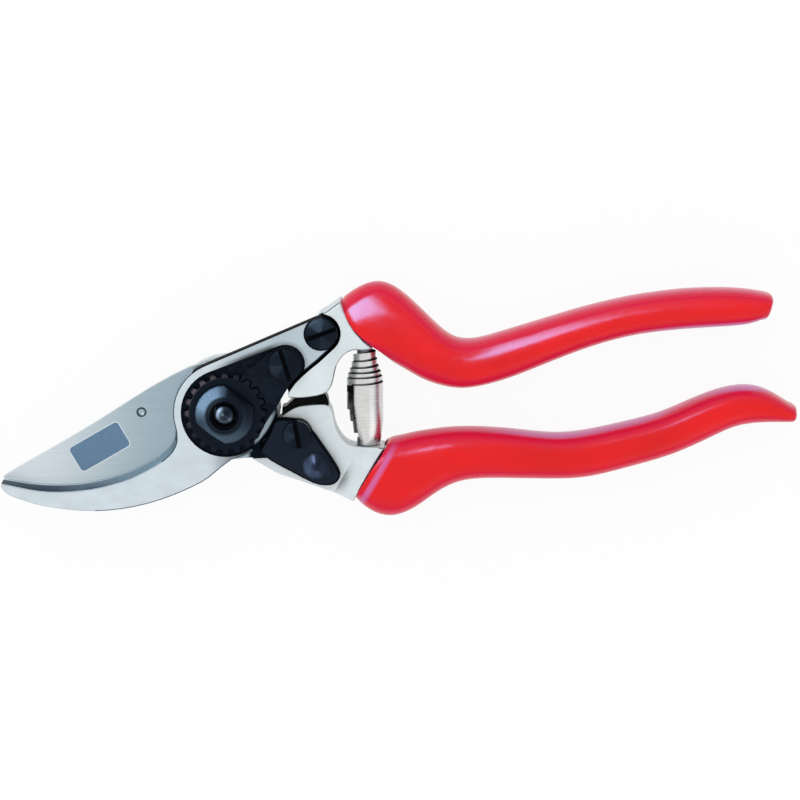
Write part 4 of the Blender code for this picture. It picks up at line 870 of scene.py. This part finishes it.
class SHEARS_OT_nut(ShearsOperator):
    """Round the edges of the adjusting nut and its toothed segment, and blue them"""
    bl_idname = "shears.nut"
    bl_label = "Nut and segment"

    def execute(self, context):
        colours, sizes = chosen(context)
        disc = NUT_BACK + DISC_HEIGHT
        nut = dressed("adjusting_nut", "nut", "upper_half", sizes.tooth_edge,
                      blued_steel(colours, "blued_nut_steel", 0.32), 30)
        # painted glints on the teeth, mostly to the left
        teeth = turned_bluing("blued_teeth_painted_glint", colours.blued, colours.teeth_highlight, (0, 0),
                              TOOTH_ANGLES, TOOTH_RADII)
        # painted highlight on the collar, brightest to the upper left
        collar = turned_bluing("blued_collar_painted_highlight", colours.blued, colours.collar_highlight, (0, 0),
                               COLLAR_ANGLES, COLLAR_RADII)
        paint(nut, teeth, lambda face: face.normal.z > 0.2 and face.center.z < disc)
        paint(nut, collar, lambda face: face.normal.z > 0.2 and face.center.z > disc)
        # the counterbore is painted black as painted shade
        paint(nut, painted_shade_black(colours), lambda face:
              disc < face.center.z < NUT_FACE - SHALLOW
              and face.center.xy.length < COUNTERBORE)
        shade(nut)
        segment = dressed("toothed_segment", "segment", "upper_half",
                          sizes.segment_edge, blued_steel(colours, "blued_segment_steel", 0.42))
        # the segment's edges that face +Y are painted light as a painted highlight
        paint(segment, painted_edge("segment_painted_highlight", colours.segment_edge),
              lambda face: 0.2 < face.normal.z < 0.9 and face.normal.y > 0.1)
        shade(segment)
        return {'FINISHED'}


class SHEARS_OT_screws(ShearsOperator):
    """Round and blue the slotted screws, and polish the bolt"""
    bl_idname = "shears.screws"
    bl_label = "Screws and bolt"

    def execute(self, context):
        colours, sizes = chosen(context)
        black = painted_shade_black(colours)
        for node, (body, slot, sides) in SCREWS.items():
            low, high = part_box(node)
            centre = (low + high).xy / 2
            # painted highlight on each head, to both sides of its slot
            steel = turned_bluing("blued_" + node, colours.blued, colours.screw_highlight, centre,
                                  self.lobes(slot, sides), SCREW_RADII)
            head = dressed(node, node + "_head", body, sizes.steel_edge,
                           steel)
            turn = math.radians(slot)
            across = Vector((-math.sin(turn), math.cos(turn)))
            # the slot is painted black as painted shade
            paint(head, black, lambda face:
                  abs((face.center.xy - centre).dot(across)) < SLOT_HALF
                  and high.z - SLOT_DEPTH < face.center.z < high.z - SHALLOW)
            shade(head)
        # painted highlight and painted shade on the bolt's end
        tip = turned_bluing("turned_bolt_painted_shine", colours.bolt, colours.bolt_highlight, (0, 0),
                            BOLT_ANGLES, BOLT_RADII)
        shade(dressed("pivot_bolt", "bolt", "upper_half", sizes.steel_edge, tip))
        bright = turned_steel(colours)
        for node in PLAIN_NODES:
            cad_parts[node].data.materials[0] = bright
        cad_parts["pivot_bush"].data.materials[0] = bearing_bronze(colours)
        return {'FINISHED'}

    def lobes(self, slot, sides):
        """Shine on the two sides of the slot, as degrees and levels."""
        return [((slot + turn + half + 180) % 360 - 180, level * side)
                for turn, level in SCREW_LOBE for half, side in zip((0, 180), sides)]


class SHEARS_OT_lever(ShearsOperator):
    """Round the thumb lever's edges and enamel it"""
    bl_idname = "shears.lever"
    bl_label = "Thumb lever"

    def execute(self, context):
        colours, sizes = chosen(context)
        lever = dressed("lock_lever", "thumb_lever", "lock", sizes.lever_edge,
                        coated_lever(colours))
        # the lever's walls are painted black as painted shade
        paint(lever, painted_shade_black(colours), lambda face: abs(face.normal.z) < 0.8
              and face.center.z < LEVER_FACE - PAD_HEIGHT)
        shade(lever)
        return {'FINISHED'}


class SHEARS_OT_stop(ShearsOperator):
    """Round the rubber stop's edges"""
    bl_idname = "shears.stop"
    bl_label = "Rubber stop"

    def execute(self, context):
        colours, sizes = chosen(context)
        shade(dressed("rubber_stop", "stop", "lower_half", sizes.stop_edge,
                      moulded_rubber(colours)))
        return {'FINISHED'}


class SHEARS_OT_spring(ShearsOperator):
    """Wind the volute spring's strip, which stretches between the arms"""
    bl_idname = "shears.spring"
    bl_label = "Volute spring"

    def execute(self, context):
        colours, sizes = chosen(context)
        low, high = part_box("volute_spring")
        middle = (low + high) / 2
        # a strip whose width and radius both change along its turns has no primitive or spin
        steps = [step / TURN_STEPS for step in range(
            FIRST_TURN * TURN_STEPS, round(LAST_TURN * TURN_STEPS) + 1)]
        sections = [self.section(turn, low.y, middle, sizes.strip) for turn in steps]
        points = [point for section in sections for point in section]
        across = len(sections[0])
        faces = [tuple(range(across))[::-1], tuple(range(len(points) - across, len(points)))]
        kinds = [1, 1]
        for n, turn in enumerate(steps[:-1]):
            first = n * across
            for i in range(across):
                j = (i + 1) % across
                faces.append((first + i, first + j, first + across + j, first + across + i))
                kinds.append(self.kind(turn, i, across // 2))
        mesh = bpy.data.meshes.new("wound_spring")
        mesh.from_pydata(points, [], faces)
        spring = bpy.data.objects.new("wound_spring", mesh)
        context.scene.collection.objects.link(spring)
        # black for the rims, the inside and the seam lines, and a darker copy of the plating in
        # the barrel and above the seams: painted shade
        for material in (plated_strip(colours, "nickel_plated_strip", 1), painted_shade_black(colours),
                         plated_strip(colours, "shaded_strip", 0.25)):
            mesh.materials.append(material)
        for face, kind in zip(mesh.polygons, kinds):
            face.material_index = kind
        edit_all(spring, bpy.ops.mesh.normals_make_consistent, inside=False)
        bpy.ops.object.shade_smooth_by_angle(angle=math.radians(40))
        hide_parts("volute_spring")
        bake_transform(spring)
        return {'FINISHED'}

    def kind(self, turn, row, rows):
        """Material of a row of faces: 0 bright, 1 black, 2 in shade."""
        if row >= rows - 1:
            return 1
        if turn < INNER_START:
            return 2 if row < rows - 2 else 1
        return {1: 1, 2: 2}.get(row, 0) if turn > SEAM_START else 0

    def between(self, stops, place):
        """Value at a place between stops of (place, value)."""
        for (start, first), (end, second) in zip(stops, stops[1:]):
            if place <= end:
                break
        return first + (second - first) * (place - start) / (end - start)

    def section(self, turn, foot, middle, thickness):
        """Section of the strip at a turn, for a spring that stands on its foot."""
        top = foot + self.between(SPRING_TOPS, turn) * MM
        radius = self.between(SPRING_RADII, turn) * MM
        angle = 2 * math.pi * turn
        out = Vector((math.sin(angle), 0, math.cos(angle)))
        bottom = top - UPPER_WIDTH if turn > 0 else foot + (INNER_EDGE + INNER_FALL * turn) * MM
        barrel = max(0, min(1, (BARREL_HALF - abs(turn - BARREL_MIDDLE)) / BARREL_STEP))
        bottom += (foot - bottom) * barrel * barrel * (3 - 2 * barrel)
        # painted shade gathers where a turn leaves the wider one before it
        seam = bottom + 1 * MM
        if turn > SEAM_START:
            seam = foot + self.between(SPRING_TOPS, turn - 1) * MM
        seam = min(seam, top - SEAM_HEIGHT)
        dark = (SEAM_DARK[0] + SEAM_DARK[1] * max(0, out.x)) * MM
        levels = [bottom, seam, seam + dark, seam + dark + SEAM_SHADE]
        levels += [levels[-1] + (top - levels[-1]) * share for share in UPPER_ROWS]
        outer, inner = [], []
        for y in levels:
            fall = max(0, (foot + FOOT_HEIGHT - y) / FOOT_HEIGHT)
            reach = min(radius, (FOOT_RADIUS - FOOT_TAPER * fall ** FOOT_CURVE) * MM)
            axis = Vector((middle.x + FOOT_LEAN * fall, y, middle.z))
            outer.append(axis + out * (reach + thickness / 2))
            inner.append(axis + out * (reach - thickness / 2))
        return [tuple(point) for point in outer + inner[::-1]]


# ---------------- stage

class SHEARS_OT_stage(ShearsOperator):
    """Lay a pale floor and set up the dome, lamps and camera"""
    bl_idname = "shears.stage"
    bl_label = "Stage"

    def execute(self, context):
        studio = context.scene.shears_studio
        self.lay_floor(context)
        self.light_dome(context, studio)
        for name, power, share, sides, tint, place, mirror in LAMPS:
            light = bpy.data.lights.new(name, 'AREA')
            light.shape = 'RECTANGLE'
            light.energy = getattr(studio, power) * share
            light.size, light.size_y = sides
            light.color = tint
            lamp = bpy.data.objects.new(name, light)
            lamp.location = place
            aim = Vector(MIDDLE) - lamp.location
            lamp.rotation_euler = aim.to_track_quat('-Z', 'Y').to_euler()
            if mirror:
                # a strip that shows in one grip, and only as a reflection
                lamp.visible_diffuse = False
                mirrors = bpy.data.collections.new(name + "_mirrors")
                mirrors.objects.link(bpy.data.objects[mirror])
                lamp.light_linking.receiver_collection = mirrors
            context.scene.collection.objects.link(lamp)
        camera = bpy.data.objects.new("camera", bpy.data.cameras.new("camera"))
        context.scene.collection.objects.link(camera)
        lean = studio.camera_lean
        camera.location = Vector(MIDDLE) + studio.camera_distance * Vector(
            (0, math.sin(lean), math.cos(lean)))
        camera.rotation_euler = (-lean, 0, 0)
        camera.data.lens = studio.lens
        camera.data.clip_start = 0.01
        context.scene.camera = camera
        context.scene.view_settings.view_transform = 'Standard'
        return {'FINISHED'}

    def lay_floor(self, context):
        """Wide round floor under the shears, white to the camera and in mirrors."""
        bpy.ops.object.select_all(action='DESELECT')
        bpy.ops.mesh.primitive_circle_add(vertices=96, radius=FLOOR_RADIUS, fill_type='NGON')
        floor = context.active_object
        floor.name = "floor"
        tone = (FLOOR_TONE,) * 3
        material, tree, shader = new_material("white_paper_floor", tone, 0.0, 0.9)
        glow = put(tree, "Emission", {"Color": (*WHITE, 1), "Strength": 1.0})
        path = put(tree, "LightPath")
        seen = path.outputs["Is Camera Ray"]
        for ray in ("Is Glossy Ray", "Is Transmission Ray"):
            seen = put(tree, "Math", {"operation": 'MAXIMUM'}, {0: seen, 1: path.outputs[ray]})
        share = put(tree, "Math", {"operation": 'MULTIPLY', 1: FLOOR_WHITE}, {0: seen})
        mix = put(tree, "MixShader", {}, {0: share, 1: shader, 2: glow})
        tree.links.new(mix.outputs[0], tree.nodes["Material Output"].inputs["Surface"])
        floor.data.materials.append(material)

    def light_dome(self, context, studio):
        """Soft dome, brightest above."""
        world = bpy.data.worlds.new("soft_dome")
        world.use_nodes = True
        tree = world.node_tree
        place = put(tree, "TexCoord").outputs["Generated"]
        height = put(tree, "SeparateXYZ", {}, {0: place}).outputs["Z"]
        share = put(tree, "MapRange", {**EASED, "From Min": 0.0, "From Max": 0.5},
                    {"Value": height})
        level = put(tree, "MapRange", {"To Min": studio.dome_rim, "To Max": studio.dome_top},
                    {"Value": share})
        tint = put(tree, "Mix", {**RGBA, 6: (0.62, 0.60, 0.86, 1), 7: (0.98, 0.99, 1.0, 1)},
                   {0: share})
        sky = tree.nodes["Background"].inputs
        tree.links.new(level.outputs[0], sky["Strength"])
        tree.links.new(tint.outputs[2], sky["Color"])
        context.scene.world = world


# ---------------- panel and run

GROUPS = {"shears_sizes": ShearsSizes, "shears_colours": ShearsColours,
          "shears_studio": ShearsStudio}
STEPS = (SHEARS_OT_arms, SHEARS_OT_hook, SHEARS_OT_blade, SHEARS_OT_grips, SHEARS_OT_nut,
         SHEARS_OT_screws, SHEARS_OT_lever, SHEARS_OT_stop, SHEARS_OT_spring, SHEARS_OT_stage)


class SHEARS_PT_panel(bpy.types.Panel):
    """The shears' pieces, sizes and colours"""
    bl_idname = "SHEARS_PT_panel"
    bl_label = "Pruning Shears"
    bl_space_type = 'VIEW_3D'
    bl_region_type = 'UI'
    bl_category = "Shears"

    def draw(self, context):
        for group in (getattr(context.scene, name) for name in GROUPS):
            box = self.layout.box()
            for name in group.bl_rna.properties.keys():
                if name not in {"rna_type", "name"}:
                    box.prop(group, name)
        for step in STEPS:
            self.layout.operator(step.bl_idname)


CLASSES = (*GROUPS.values(), *STEPS, SHEARS_PT_panel)


def register():
    """Make the classes and the scene's settings known to Blender."""
    for each in CLASSES:
        bpy.utils.register_class(each)
    for name, group in GROUPS.items():
        setattr(bpy.types.Scene, name, bpy.props.PointerProperty(type=group))


def unregister():
    """Take them out again."""
    for name in GROUPS:
        delattr(bpy.types.Scene, name)
    for each in reversed(CLASSES):
        bpy.utils.unregister_class(each)


def main():
    """Dress the shears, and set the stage."""
    register()
    bpy.ops.shears.arms()
    bpy.ops.shears.hook()
    bpy.ops.shears.blade()
    bpy.ops.shears.grips()
    bpy.ops.shears.nut()
    bpy.ops.shears.screws()
    bpy.ops.shears.lever()
    bpy.ops.shears.stop()
    bpy.ops.shears.spring()
    bpy.ops.shears.stage()


if __name__ == "__main__":
    main()
